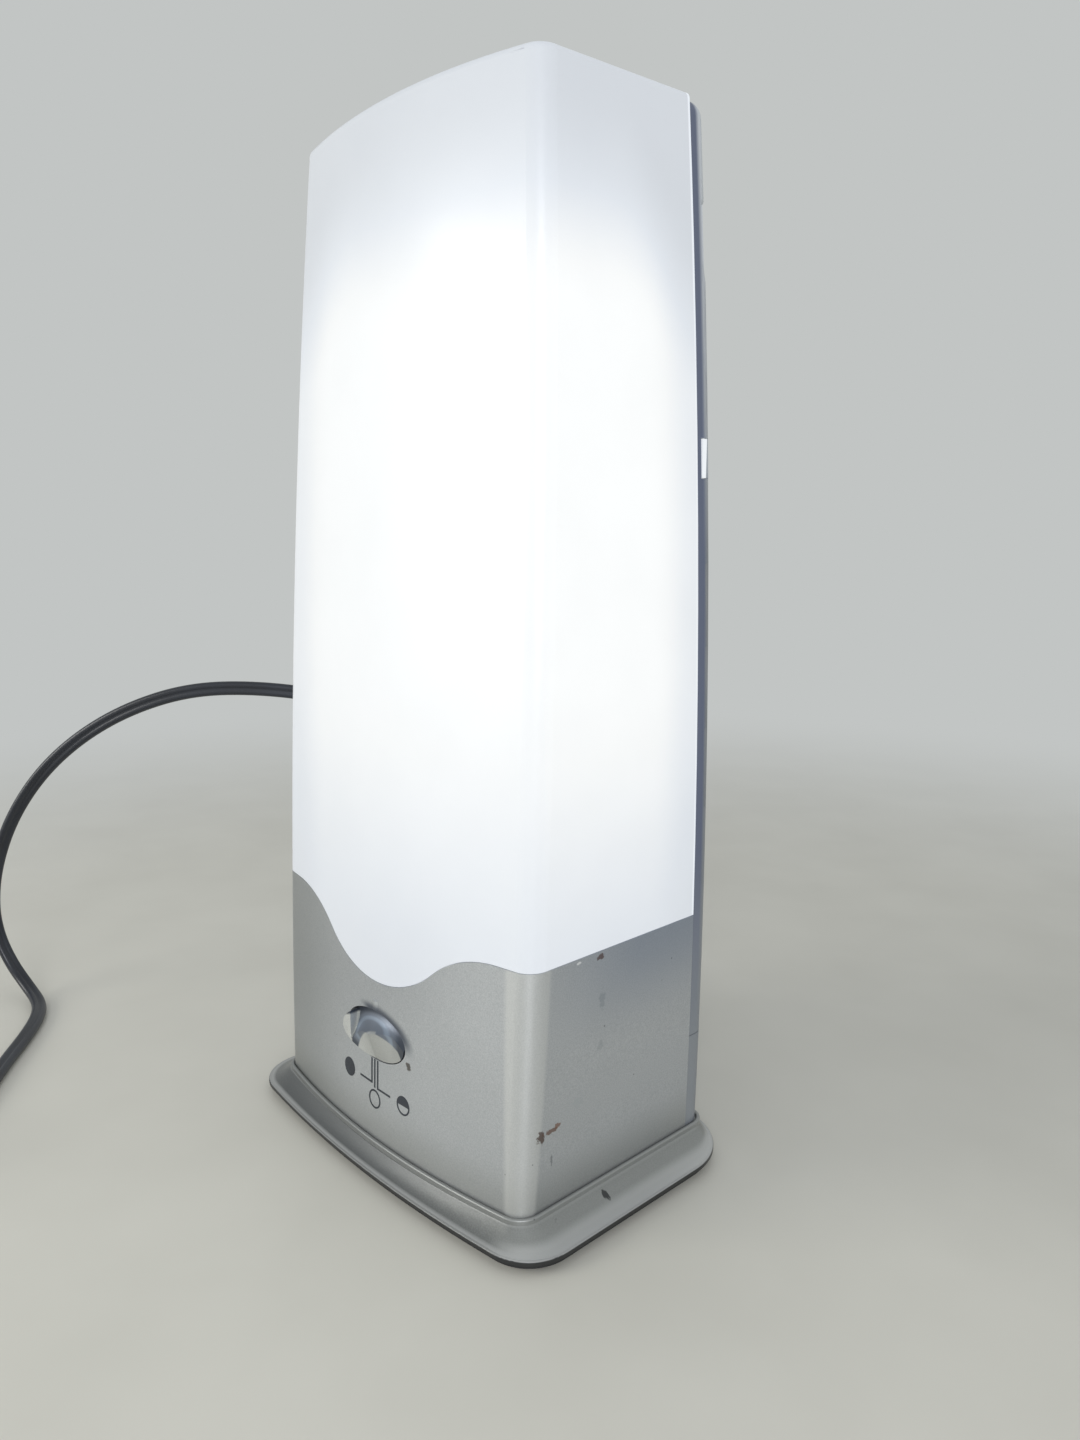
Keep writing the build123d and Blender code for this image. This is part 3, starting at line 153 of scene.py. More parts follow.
def ramp(tree, place, way, start, end, low=0.0, high=1.0, shape="SMOOTHSTEP"):
    """A number that goes from low to high between two distances along a way."""
    along = add(tree, "ShaderNodeVectorMath", {"operation": "DOT_PRODUCT"}, {0: place, 1: way}, "Value")
    inputs = {"Value": along, "From Min": start * MM, "From Max": end * MM, "To Min": low, "To Max": high}
    return add(tree, "ShaderNodeMapRange", {"interpolation_type": shape}, inputs)


def spot(tree, place, middle, half_sizes, start, end, ragged=0.0):
    """A mask from 0 to 1 between two distances from a middle, which are counted in half sizes."""
    for operation, lengths in (("SUBTRACT", middle), ("DIVIDE", half_sizes)):
        metres = [length * MM for length in lengths]
        place = add(tree, "ShaderNodeVectorMath", {"operation": operation}, {0: place, 1: metres})
    far = add(tree, "ShaderNodeVectorMath", {"operation": "LENGTH"}, {0: place}, "Value")
    far = add(tree, "ShaderNodeMath", {"operation": "MULTIPLY_ADD"}, {0: ragged, 1: 2.6, 2: far})
    inputs = {"Value": far, "From Min": start, "From Max": end}
    return add(tree, "ShaderNodeMapRange", {"interpolation_type": "SMOOTHSTEP"}, inputs)


def product(tree, first, *others):
    """Masks and numbers multiplied together."""
    for other in others:
        first = add(tree, "ShaderNodeMath", {"operation": "MULTIPLY"}, {0: first, 1: other})
    return first


def lay(tree, under, over, *covers):
    """Lays a colour over a tint as far as its covers, multiplied together, go towards 1."""
    tints = [linear(tint) if isinstance(tint, str) else tint for tint in (under, over)]
    inputs = {"Factor": product(tree, *covers), 6: tints[0], 7: tints[1]}
    return add(tree, "ShaderNodeMix", {"data_type": "RGBA"}, inputs, 2)


# --- Wear and painted light --------------------------------------------------------------------
# Places where the paint is worn or soiled: middle, half sizes, colour and how much it covers.
wear_marks = (
    ((79.4, -38.3, 41.9), (8.0, 1.9, 2.2), "#4e372b", 0.85),
    ((79.4, -33.4, 42.6), (8.0, 3.6, 0.9), "#6a4a38", 0.8),
    ((79.4, -30.4, 43.5), (8.0, 1.6, 1.0), "#7a5138", 0.75),
    ((80.0, -9.3, 101.2), (8.0, 2.0, 1.0), "#543a36", 0.8),
    ((80.0, -21.0, 101.9), (8.0, 1.1, 0.5), "#e6e8ea", 0.9),
    ((85.0, -9.6, 9.4), (3.0, 1.2, 2.6), "#232527", 0.85),
    ((81.5, -33.9, 8.2), (2.4, 1.6, 1.6), "#55585a", 0.5),
    ((21.4, -52.0, 51.0), (1.5, 6.0, 1.5), "#40372f", 0.85),
    ((79.5, -20.0, 48.4), (8.0, 2.6, 2.0), "#a9b0b3", 0.35),
    ((79.8, -8.8, 66.8), (8.0, 1.6, 2.2), "#6f7880", 0.22),
    ((79.3, -33.0, 31.2), (8.0, 0.5, 2.0), "#565b5d", 0.5),
    ((79.9, -8.4, 84.0), (8.0, 1.5, 4.2), "#6b7680", 0.32),
)


def soiled(tree, place, tint):
    """Lays the wear marks over a tint, each with a ragged outline."""
    ragged = wavering(tree, place, 1.6, -0.5, 0.5, 5.0, ends=(0.0, 1.0))
    for middle, half_sizes, colour, cover in wear_marks:
        mark = spot(tree, place, middle, half_sizes, 1.15, 0.7, ragged)
        tint = lay(tree, tint, colour, mark, cover)
    return tint


def specked(tree, place, tint):
    """Lays small dark specks over a tint, about one in each 9 mm."""
    inputs = {"Vector": place, "Scale": 1 / (9 * MM)}
    near = add(tree, "ShaderNodeTexVoronoi", inputs=inputs, output="Distance")
    chance = add(tree, "ShaderNodeSeparateColor", inputs={"Color": near.node.outputs["Color"]})
    speck = add(tree, "ShaderNodeMapRange", inputs={"Value": near, "From Min": 0.05, "From Max": 0.025})
    few = add(tree, "ShaderNodeMapRange", inputs={"Value": chance, "From Min": 0.6, "From Max": 0.75})
    return lay(tree, tint, "#4c4f50", speck, few, 0.7)


def painted_gap_shade(tree, place, tint):
    """Lays a painted dark blue-grey shade on the housing along the rocker's opening, above and to its
    right.
    """
    level = rocker_middle[2]
    beside = spot(tree, place, rocker_middle, rocker_half_sizes, 1.42, 1.1)
    above_right = ramp(tree, place, (0.6, 0, 1), level + 3.0, level + 8.0)
    above = ramp(tree, place, upwards, level - 3.0, level + 5.0)
    return lay(tree, tint, "#343e50", beside, above_right, above, 0.85)


def housing_painted_light_and_wear(tree, place, tint):
    """Housing: painted highlight on its corner, painted shade to its left, darker towards its lower edge,
    painted bluish reflection on its side, then specks, wear marks and the painted shade by the rocker.
    """
    # painted shade towards the left, and darker towards the lower edge
    tint = lay(tree, tint, "#7d807e", ramp(tree, place, rightwards, -10, -75), 0.5)
    tint = lay(tree, tint, "#82837c", ramp(tree, place, upwards, 34, 12), 0.45)
    # painted bluish reflection on the side, towards the back and up to the lens
    on_side = ramp(tree, place, rightwards, 60, 70, shape="LINEAR")
    to_back = ramp(tree, place, backwards, -42, 10, shape="LINEAR")
    near_lens = ramp(tree, place, upwards, 62, 104)
    tint = lay(tree, tint, "#75839a", on_side, to_back, near_lens, 0.55)
    # painted highlight on the rounded front corner
    tint = lay(tree, tint, "#e2e3df", ramp(tree, place, (1, -1, 0.055), 119.4, 121.6), 0.36)
    return painted_gap_shade(tree, place, soiled(tree, place, specked(tree, place, tint)))


def rocker_painted_light(tree, place, tint):
    """Painted light on the rocker: painted blue-grey shade above its scoop with a painted lighter streak,
    a painted dark shadow at its rim, and painted shade on the scoop's right.
    """
    level = rocker_middle[2]
    lit_scoop_sizes = (lit_scoop_r, any_depth, lit_scoop_r)
    lit_scoop_edge = 0.4 / lit_scoop_r
    largest = {"operation": "MAXIMUM"}
    # the lit round of the scoop and the left tip stay free of the painted shade
    round_lit_scoop = spot(tree, place, lit_scoop_middle, lit_scoop_sizes, 1 - lit_scoop_edge, 1 + lit_scoop_edge)
    over_lit_scoop = ramp(tree, place, (0.36, 0, 1), level + 3.5, level + 4.3)
    off_lit_scoop = add(tree, "ShaderNodeMath", largest, {0: round_lit_scoop, 1: over_lit_scoop})
    beside_tip = ramp(tree, place, rightwards, -13.1, -12.4)
    over_tip = ramp(tree, place, (-0.29, 0, 1), level + 8.2, level + 9.4)
    off_tip = add(tree, "ShaderNodeMath", largest, {0: beside_tip, 1: over_tip})
    # painted lighter streak across the painted shade, and painted dark shadow at the rim
    streak_inside = spot(tree, place, rocker_middle, rocker_half_sizes, 0.5, 0.58)
    streak_outside = spot(tree, place, rocker_middle, rocker_half_sizes, 0.7, 0.62)
    rim = spot(tree, place, rocker_middle, rocker_half_sizes, 0.7, 0.88)
    # painted blue-grey shade
    painted_shade_colour = lay(tree, "#68717f", "#8390a0", streak_inside, streak_outside)
    painted_shade_colour = lay(tree, painted_shade_colour, "#2c3545", rim)
    # painted shade on the right of the scoop
    scoop_colour = lay(tree, tint, "#9c9e9b", ramp(tree, place, rightwards, -0.4, 0.9), 0.45)
    return lay(tree, scoop_colour, painted_shade_colour, off_lit_scoop, off_tip, 0.92)


def foot_painted_light_and_wear(tree, place, tint):
    """Foot: painted shade to its front left, painted highlights on its right, bead and shoulder, painted
    shadow below, then specks and wear marks.
    """
    # painted shade towards the front left
    to_left = ramp(tree, place, rightwards, 100, -10)
    before_left_end = ramp(tree, place, rightwards, -92, -66)
    tint = lay(tree, tint, "#505355", to_left, before_left_end, 0.7)
    # painted highlights on the right, brightest low near the outer edge
    to_right = ramp(tree, place, rightwards, 70, 86)
    tint = lay(tree, tint, "#b7b9b5", to_right, 0.4)
    tint = lay(tree, tint, "#d0d1cf", to_right, ramp(tree, place, upwards, 8.2, 6.2), 0.6)
    # painted highlights along the bead and the shoulder, and painted shadow below the shoulder
    bead = ("#a6a8a6", 10.4, 10.9, 0.5)
    shoulder = ("#c4c5c3", 6.1, 5.6, 0.6)
    below = ("#202123", 5.4, 5.1, 0.95)
    for colour, start, end, cover in (bead, shoulder, below):
        tint = lay(tree, tint, colour, ramp(tree, place, upwards, start, end, shape="LINEAR"), cover)
    return soiled(tree, place, specked(tree, place, tint))


def cover_painted_light(tree, place, tint):
    """Painted light on the rear cover: painted bluish shade on its strip beside the lit lens, and a
    painted highlight along its rim near the top.
    """
    # painted bluish shade on the strip beside the lens
    beside_lens = ramp(tree, place, backwards, 49.4, 47.0, shape="LINEAR")
    tint = lay(tree, tint, "#5f677c", beside_lens, ramp(tree, place, upwards, 50, 130, shape="LINEAR"))
    # painted highlight along the rim near the top
    from_lens = ramp(tree, place, backwards, 46.2, 48.4, shape="LINEAR")
    from_back = ramp(tree, place, backwards, 53.2, 51.8, shape="LINEAR")
    near_top = ramp(tree, place, upwards, 240, 370, shape="LINEAR")
    return lay(tree, tint, "#ccd1d6", from_lens, from_back, near_top)


# --- Finishes ----------------------------------------------------------------------------------
def moulded(name, colour, cloud_colour, roughness, grain, depth, sockets=None, wear_and_painted_light=None):
    """Moulded plastic: spark-eroded grain of a size and depth, and a slight cloudiness."""
    made, tree, shader, place = material(name, {"IOR": 1.53, **(sockets or {})})
    tint = lay(tree, colour, cloud_colour, wavering(tree, place, 35, 0.0, 1.0, ends=(0.35, 0.65)))
    # lays painted light and wear, where the part has them
    if wear_and_painted_light:
        tint = wear_and_painted_light(tree, place, tint)
    gloss = wavering(tree, place, grain, roughness - 0.06, roughness + 0.06)
    height = wavering(tree, place, grain, 0.0, 1.0, ends=(0.0, 1.0))
    bump = add(tree, "ShaderNodeBump", inputs={"Height": height, "Distance": depth * MM})
    connect(tree, shader, {"Base Color": tint, "Roughness": gloss, "Normal": bump})
    return made


def bare_metal(name, colour, dull_colour, roughness, grain, stretch):
    """Metal with fine drawn lines: noise whose grain is stretched along one axis."""
    made, tree, shader, place = material(name, {"Metallic": 1.0})
    drawn = add(tree, "ShaderNodeMapping", inputs={"Vector": place, "Scale": stretch})
    tint = lay(tree, dull_colour, colour, wavering(tree, drawn, grain, 0.0, 1.0, 4.0))
    gloss = wavering(tree, drawn, grain, roughness + 0.1, roughness - 0.05, 4.0)
    height = wavering(tree, drawn, grain, 0.0, 1.0, 4.0, ends=(0.0, 1.0))
    bump = add(tree, "ShaderNodeBump", inputs={"Height": height, "Distance": 0.02 * MM})
    connect(tree, shader, {"Base Color": tint, "Roughness": gloss, "Normal": bump})
    return made


def silver_lacquer(name, light, dark, roughness, wear_and_painted_light):
    """Silver lacquer on ABS: aluminium flakes glint in a clear coat with a faint orange peel."""
    sockets = {"Metallic": 0.62, "Coat Weight": 0.25, "Coat Roughness": 0.3}
    made, tree, shader, place = material(name, sockets)
    tint = lay(tree, dark, light, wavering(tree, place, flake_size, 0.0, 1.0, 1.0))
    tint = lay(tree, tint, "#8f9290", wavering(tree, place, 60, 0.0, 0.22, 3.0, ends=(0.3, 0.8)))
    gloss = wavering(tree, place, 60, roughness - 0.04, roughness + 0.05, 3.0)
    flakes = wavering(tree, place, flake_size, 0.0, 1.0, 1.0, ends=(0.0, 1.0))
    peel = wavering(tree, place, 2.0, 0.0, 1.0, 0.0, ends=(0.0, 1.0))
    height = add(tree, "ShaderNodeMath", {"operation": "ADD"}, {0: flakes, 1: peel})
    bump = add(tree, "ShaderNodeBump", inputs={"Height": height, "Distance": 0.012 * MM})
    # lays painted light and wear over the tint
    tint = wear_and_painted_light(tree, place, tint)
    connect(tree, shader, {"Base Color": tint, "Roughness": gloss, "Normal": bump})
    return made


def opal_acrylic():
    """Opal acrylic, lit by the four tubes behind it: white over them and bluish towards its edges."""
    sockets = {"IOR": 1.49, "Roughness": 0.32, "Coat Weight": 0.2, "Coat Roughness": 0.12}
    made, tree, shader, place = material("opal acrylic", sockets)
    left = ramp(tree, place, rightwards, -76, -20, 0.85, 0.0)
    left = product(tree, left, ramp(tree, place, backwards, -10, -30))
    back = ramp(tree, place, backwards, 2, 50)
    edge = add(tree, "ShaderNodeMath", {"operation": "MAXIMUM"}, {0: left, 1: back})
    # the glow's upper end is an arch: it comes down towards the left edge and the back
    inputs = {0: edge, 1: (0, 0, arch_drop * MM), 2: place}
    arch = add(tree, "ShaderNodeVectorMath", {"operation": "MULTIPLY_ADD"}, inputs)
    above_foot = ramp(tree, place, upwards, 60, 210, 0.3, 1.0)
    below_top = ramp(tree, arch, upwards, 392, 322)
    inputs = {"Value": edge, "From Min": 1.0, "From Max": 0.2, "To Min": 0.62, "To Max": 1.0}
    inward = add(tree, "ShaderNodeMapRange", {"interpolation_type": "SMOOTHSTEP"}, inputs)
    glow = product(tree, above_foot, below_top, inward)
    inputs = {0: glow, 1: tube_glow, 2: wall_glow}
    lit = add(tree, "ShaderNodeMath", {"operation": "MULTIPLY_ADD"}, inputs)
    # the sides glow a little more than the bowed front: partly as they lie nearer the tubes, partly
    # painted light that evens them with the front, which the lamps light more
    side_lift = ramp(tree, place, (0, 1, -0.0487), -50.0, -41.5, 0.93, 1.17)
    mottle = wavering(tree, place, 30, 0.98, 1.02)
    # light runs through the wall and leaves it at its cut edge beside the rear cover
    cut_edge = ramp(tree, place, backwards, 40.4, 42.0, 0.0, 0.55, shape="LINEAR")
    inputs = {0: product(tree, lit, side_lift, mottle), 1: cut_edge}
    strength = add(tree, "ShaderNodeMath", {"operation": "MAXIMUM"}, inputs)
    over_tubes = add(tree, "ShaderNodeMapRange", inputs={"Value": glow, "From Min": 0.45, "From Max": 0.9})
    connect(tree, shader, {"Emission Strength": strength})
    connect(tree, shader, {"Emission Color": lay(tree, "#eff4fa", "#fffef9", over_tubes)})
    body = lay(tree, "#b0b4b9", "#b6b9bd", wavering(tree, place, 50, 0.0, 1.0, ends=(0.0, 1.0)))
    height = wavering(tree, place, 2.5, 0.0, 1.0, 0.0, ends=(0.0, 1.0))
    bump = add(tree, "ShaderNodeBump", inputs={"Height": height, "Distance": 0.004 * MM})
    connect(tree, shader, {"Base Color": body, "Normal": bump})
    return made


def phosphor_glass():
    """Glass tube with a white phosphor coat: an even white glow, a little grey at its ends."""
    sockets = {"IOR": 1.52, "Roughness": 0.12, "Emission Color": linear("#f4f8ff")}
    made, tree, shader, place = material("phosphor glass", sockets)
    lit = ramp(tree, place, upwards, 150, 175, 0.25, 1.0)
    body = lay(tree, "#e3e6e8", "#eef0f1", wavering(tree, place, 8, 0.0, 1.0, ends=(0.0, 1.0)))
    connect(tree, shader, {"Base Color": body, "Emission Strength": lit})
    return made


def circuit_laminate():
    """Glass-epoxy board: green solder mask over copper tracks that run along both axes."""
    made, tree, shader, place = material("circuit laminate", {"IOR": 1.55, "Roughness": 0.35})
    inputs = {"Vector": place, "Scale": 1.0, "Brick Width": 9 * MM, "Row Height": 2.5 * MM}
    inputs["Mortar Size"] = 0.35 * MM
    tracks = add(tree, "ShaderNodeTexBrick", {"offset": 0.35}, inputs, "Fac")
    bump = add(tree, "ShaderNodeBump", inputs={"Height": tracks, "Distance": 0.05 * MM})
    connect(tree, shader, {"Base Color": lay(tree, "#2c6a45", "#1d4f33", tracks), "Normal": bump})
    return made


def wound_tape():
    """Polyester tape round the windings: level wraps 3 mm wide, with a thin raised lap."""
    made, tree, shader, place = material("winding tape", {"IOR": 1.57, "Roughness": 0.3})
    # a wave of scale 1 repeats each 0.314 m
    inputs = {"Vector": place, "Scale": 0.314 / (3 * MM)}
    saw = {"bands_direction": "Z", "wave_profile": "SAW"}
    wraps = add(tree, "ShaderNodeTexWave", saw, inputs, "Fac")
    bump = add(tree, "ShaderNodeBump", inputs={"Height": wraps, "Distance": 0.06 * MM})
    connect(tree, shader, {"Base Color": lay(tree, "#d9a521", "#e8b93a", wraps), "Normal": bump})
    return made


def dress(finish, *names):
    """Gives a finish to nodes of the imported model."""
    for name in names:
        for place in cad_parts[name].material_slots:
            place.material = finish


dress(silver_lacquer("silver lacquer", "#c0c3c5", "#adb1b4", 0.42, housing_painted_light_and_wear), "front_housing")
# the foot has the housing's lacquer, in darker tints that are painted shade
dress(silver_lacquer("silver lacquer in painted shade", "#838583", "#717371", 0.42, foot_painted_light_and_wear), "foot")
# the rocker's lacquer is smoother, because thumbs have polished it
dress(silver_lacquer("polished lacquer", "#cfd1ce", "#c0c2c0", 0.33, rocker_painted_light), "rocker_button")
dress(opal_acrylic(), "lens")
dress(phosphor_glass(), "lamp_tubes")
# grey ABS of the rear covers: a fine eroded grain, which gives a soft even sheen
grey_abs = moulded("grey ABS", "#83888c", "#898d90", 0.42, 0.7, 0.02, wear_and_painted_light=cover_painted_light)
dress(grey_abs, "rear_cover", "lower_rear_cover")
# black ABS of the base: almost all of it lies in shade, with a dull sheen at its rim
dress(moulded("black ABS", "#1b1c1e", "#222325", 0.55, 0.8, 0.02), "base_plate")
# rubber pads: matt, and greyed by dust
dress(moulded("rubber", "#4a4c4e", "#55575a", 0.8, 1.2, 0.05), "rubber_feet")
# sand-cast iron, bare inside the case: rough, with brownish clouds
dress(moulded("cast iron", "#3a3a3b", "#4b4744", 0.75, 2.5, 0.15), "base_weight")
# the fittings' plastics have finer grain and a little more gloss than the case's
dress(moulded("nylon", "#191a1c", "#202123", 0.42, 0.6, 0.015), "switch_body")
dress(moulded("white PBT", "#dcdbd5", "#e3e2dd", 0.4, 0.7, 0.01), "lamp_shelf", "lampholder", "lamp_cap")
phenolic = moulded("phenolic resin", "#26282b", "#303236", 0.4, 0.9, 0.02)
dress(phenolic, "ballast_capacitors", "ballast_transistors")
dress(moulded("green polyamide", "#2f7d4f", "#358657", 0.4, 0.6, 0.015), "terminal_block")
dress(moulded("white lead vinyl", "#d9d9d4", "#e2e2de", 0.38, 0.6, 0.01), "switch_leads", "lamp_leads")
dress(circuit_laminate(), "ballast_board")
dress(wound_tape(), "ballast_inductors")
# metals: the drawn lines stretch a highlight across them
zinc = bare_metal("zinc-plated steel", "#c3c6c9", "#a5a9ad", 0.32, 0.6, (1.0, 1.0, 0.1))
dress(zinc, "rocker_pin", "tube_clip", *[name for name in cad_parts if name.endswith("_screws")])
brass = bare_metal("brass", "#d8b56a", "#b8934a", 0.3, 0.5, (1.0, 0.15, 1.0))
dress(brass, "switch_terminals", "lamp_prongs", "board_standoffs", "plug_blades")
aluminium = bare_metal("extruded aluminium", "#c9cbcd", "#aeb1b4", 0.35, 0.5, (1.0, 1.0, 0.08))
dress(aluminium, "ballast_heatsink")
dress(bare_metal("bright reflector sheet", "#dfe1e3", "#cfd2d5", 0.18, 0.8, (1.0, 1.0, 0.05)), "reflector")
# soft vinyl of the cord and its mouldings: blue-black, with a soft sheen along its ridges
vinyl = moulded("cord vinyl", "#171b24", "#1d222c", 0.36, 0.5, 0.01, {"Specular IOR Level": 0.6})
dress(vinyl, "mains_lead", "strain_relief", "plug_body")

# --- Cord --------------------------------------------------------------------------------------
cord_route = [
    (0, 73.75, 142),
    (0, 88.5, 142),
    (-7, 102.3, 142.6),
    (-19.6, 111.4, 143.6),
    (-34.9, 113.8, 145.2),
    (-49.8, 108.5, 147.5),
    (-67, 91.5, 151),
    (-86, 69.5, 156),
    (-108, 45.5, 162),
    (-136, 15.5, 168.6),
    (-164, -11.5, 173),
    (-190, -35, 171.5),
    (-214, -57, 161.5),
    (-235, -76, 146),
    (-253, -92, 125.5),
    (-267, -104.5, 100),
    (-275.5, -112, 73.5),
    (-278.5, -114.8, 50),
    (-276.6, -113.6, 32.5),
    (-270.2, -109.8, 17.4),
    (-258.6, -106, 7.2),
    (-243, -105.4, 3.1),
    (-227.5, -110.6, 2.85),
    (-209, -122, 2.85),
    (-189, -137, 2.85),
    (-167, -152, 2.85),
    (-143.5, -168.5, 2.85),
    (-126, -186, 2.85),
    (coil_centre[0] + coil_outer_r, coil_centre[1] + 22, 2.85),
]
plug_way_steps = ((-12.5, 12.5), (-26.0, 24.0), (-40.0, 39.0))


def coil_points():
    """Turns of the coil: inwards in the lower layer, up, and outwards again in the upper one."""
    turns = coil_whole_turns + (360 - coil_leave_angle) / 360
    count = round(turns * coil_points_per_turn)
    low_z = floor_gap + coil_layer / 2
    points = []
    for i in range(count + 1):
        turned = turns * i / count
        inward = coil_outer_r - coil_turn_step * turned
        outward = coil_inner_r + coil_turn_step * (turned - coil_whole_turns + 2)
        radius = min(coil_outer_r, max(coil_inner_r, inward, outward))
        climb = min(1, max(0, (turned - 2.2) / 0.6))
        angle = -2 * math.pi * turned
        x = coil_centre[0] + radius * math.cos(angle)
        y = coil_centre[1] + radius * math.sin(angle)
        points.append((x, y, low_z + coil_layer * climb * climb * (3 - 2 * climb)))
    return points


def spline_line(name, points):
    """Places in metres along one smooth spline through a route in millimetres."""
    curve = bpy.data.curves.new(name, "CURVE")
    curve.dimensions = "3D"
    curve.resolution_u = 8
    spline = curve.splines.new("NURBS")
    spline.points.add(len(points) - 1)
    for control, point in zip(spline.points, points):
        control.co = (*[value * MM for value in point], 1)
    spline.order_u = 3
    spline.use_endpoint_u = True
    holder = bpy.data.objects.new(name, curve)
    bpy.context.scene.collection.objects.link(holder)
    line = bpy.data.meshes.new_from_object(holder)
    places = [vertex.co.copy() for vertex in line.vertices]
    bpy.data.objects.remove(holder)
    bpy.data.meshes.remove(line)
    return places


def directions(places):
    """Unit directions along a line of places."""
    last = len(places) - 1
    ends = [(max(i - 1, 0), min(i + 1, last)) for i in range(last + 1)]
    return [(places[after] - places[before]).normalized() for before, after in ends]


def widths_along(places, ways, keys):
    """Directions of the cord's width, which turns between keys of a distance and how it lies."""
    width = (UP - UP.dot(ways[0]) * ways[0]).normalized()
    carried = [width]
    for before, after in zip(ways, ways[1:]):
        width = before.rotation_difference(after) @ width
        carried.append((width - width.dot(after) * after).normalized())
    distances = [0.0]
    for a, b in zip(places, places[1:]):
        distances.append(distances[-1] + (b - a).length / MM)
    twists = []
    for distance, lies in keys:
        i = min(range(len(distances)), key=lambda k: abs(distances[k] - distance))
        wanted = ways[i].cross(UP) if lies == "flat" else UP - UP.dot(ways[i]) * ways[i]
        angle = math.atan2(ways[i].dot(carried[i].cross(wanted)), carried[i].dot(wanted))
        nearest = twists[-1][1] if twists else 0.0
        angle -= math.pi * round((angle - nearest) / math.pi)
        twists.append((distances[i], angle))
    turned = []
    for distance, way, width in zip(distances, ways, carried):
        for (start, a), (end, b) in zip(twists, twists[1:]):
            if start <= distance <= end:
                share = (distance - start) / (end - start)
                angle = a + (b - a) * share * share * (3 - 2 * share)
        turned.append(Quaternion(way, angle) @ width)
    return turned


def cord_section():
    """Outline of the flat cord: two round cores with a groove between them, on both faces."""
    angles = [math.radians(angle) for angle in range(-120, 121, 30)]
    lobe = [(core_x + core_r * math.cos(angle), core_r * math.sin(angle)) for angle in angles]
    groove = core_r - groove_depth
    far_lobe = [(-x, -y) for x, y in lobe]
    return [*lobe, (0.0, groove), *far_lobe, (0.0, -groove)]


def piece(name, mesh, smooth=False):
    """Object of a finished bmesh, at the origin of the frame."""
    data = bpy.data.meshes.new(name)
    mesh.to_mesh(data)
    mesh.free()
    for face in data.polygons:
        face.use_smooth = smooth
    made = bpy.data.objects.new(name, data)
    bpy.context.scene.collection.objects.link(made)
    return made


def tube(name, places, widths, ways, section):
    """Closed mesh of a section carried along a line of places."""
    mesh = bmesh.new()
    rings = []
    for place, width, way in zip(places, widths, ways):
        depth = way.cross(width)
        rings.append([mesh.verts.new(place + (x * width + y * depth) * MM) for x, y in section])
    for ring, following in zip(rings, rings[1:]):
        for i in range(len(section)):
            mesh.faces.new((ring[i - 1], ring[i], following[i], following[i - 1]))
    mesh.faces.new(list(reversed(rings[0])))
    mesh.faces.new(rings[-1])
    bmesh.ops.recalc_face_normals(mesh, faces=mesh.faces)
    return piece(name, mesh, smooth=True)


def make_cord():
    """The flat cord from its strain relief to its plug, on edge in the air and in its coil."""
    coil = coil_points()
    leave_x, leave_y, leave_z = coil[-1]
    plug_run = [
        (leave_x + x, leave_y + y, leave_z if i == 0 else plug_middle_z)
        for i, (x, y) in enumerate(plug_way_steps)
    ]
    places = spline_line("cord_line", [*cord_route, *coil, *plug_run])
    ways = directions(places)
    long = sum((b - a).length for a, b in zip(places, places[1:])) / MM
    keys = (
        (0, "edge"),
        (arch_end, "edge"),
        (floor_start, "flat"),
        (floor_end, "flat"),
        (coil_start, "edge"),
        (long - coil_end_to_plug, "edge"),
        (long, "flat"),
    )
    cord = tube("mains_cord", places, widths_along(places, ways, keys), ways, cord_section())
    cord.data.materials.append(vinyl)
    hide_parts("power_cord", "cord_coil", "plug_lead")
    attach(cord, "case")


make_cord()


# --- Marks under the switch: off, half and full power ------------------------------------------
def printed_marks():
    """Thin ink on the housing: three lines from the rocker to an open, a half and a full disc."""
    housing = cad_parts["front_housing"].data
    faces = [face.vertices for face in housing.polygons]
    skin = BVHTree.FromPolygons([vertex.co for vertex in housing.vertices], faces)
    mesh = bmesh.new()
    angles = [2 * math.pi * i / mark_segments for i in range(mark_segments)]
    circle = [(math.cos(angle), math.sin(angle)) for angle in angles]
    inner_r = mark_r - mark_ring

    def vertices(outline):
        hits = [skin.ray_cast(Vector((x * MM, -0.2, z * MM)), Vector(backwards))[0] for x, z in outline]
        return [mesh.verts.new(hit + Vector((0, ink_root * MM, 0))) for hit in hits]

    def patch(outline):
        mesh.faces.new(vertices(outline))

    def line_down(x, top_z, end_z):
        half = line_width / 2
        patch([(x - half, top_z), (x + half, top_z), (x + half, end_z), (x - half, end_z)])

    def line_out(x, end_x, z):
        half = line_width / 2
        patch([(x, z + half), (end_x, z + half), (end_x, z - half), (x, z - half)])

    def around(middle, radius, points=circle):
        return [(middle[0] + radius * across, middle[1] + radius * up) for across, up in points]

    def ring(middle):
        outer = vertices(around(middle, mark_r))
        inner = vertices(around(middle, inner_r))
        for i in range(mark_segments):
            mesh.faces.new((outer[i - 1], outer[i], inner[i], inner[i - 1]))

    line_down(0, line_top_z, line_end_z)
    for side, elbow_z in ((-1, left_elbow_z), (1, right_elbow_z)):
        line_x = side * line_gap
        line_down(line_x, line_top_z, elbow_z + line_width / 2)
        line_out(line_x - side * line_width / 2, side * line_reach, elbow_z)
    ring(off_mark)
    patch(around(full_mark, mark_r))
    ring(half_mark)
    patch(around(half_mark, inner_r, [(across, up) for across, up in circle if up > -1e-6]))
    raised = bmesh.ops.extrude_face_region(mesh, geom=list(mesh.faces))["geom"]
    thickness = (ink_root + ink_proud) * MM
    lifted = [element for element in raised if isinstance(element, bmesh.types.BMVert)]
    bmesh.ops.translate(mesh, verts=lifted, vec=(0, -thickness, 0))
    bmesh.ops.recalc_face_normals(mesh, faces=mesh.faces)
    return piece("switch_marks", mesh)


marks = printed_marks()
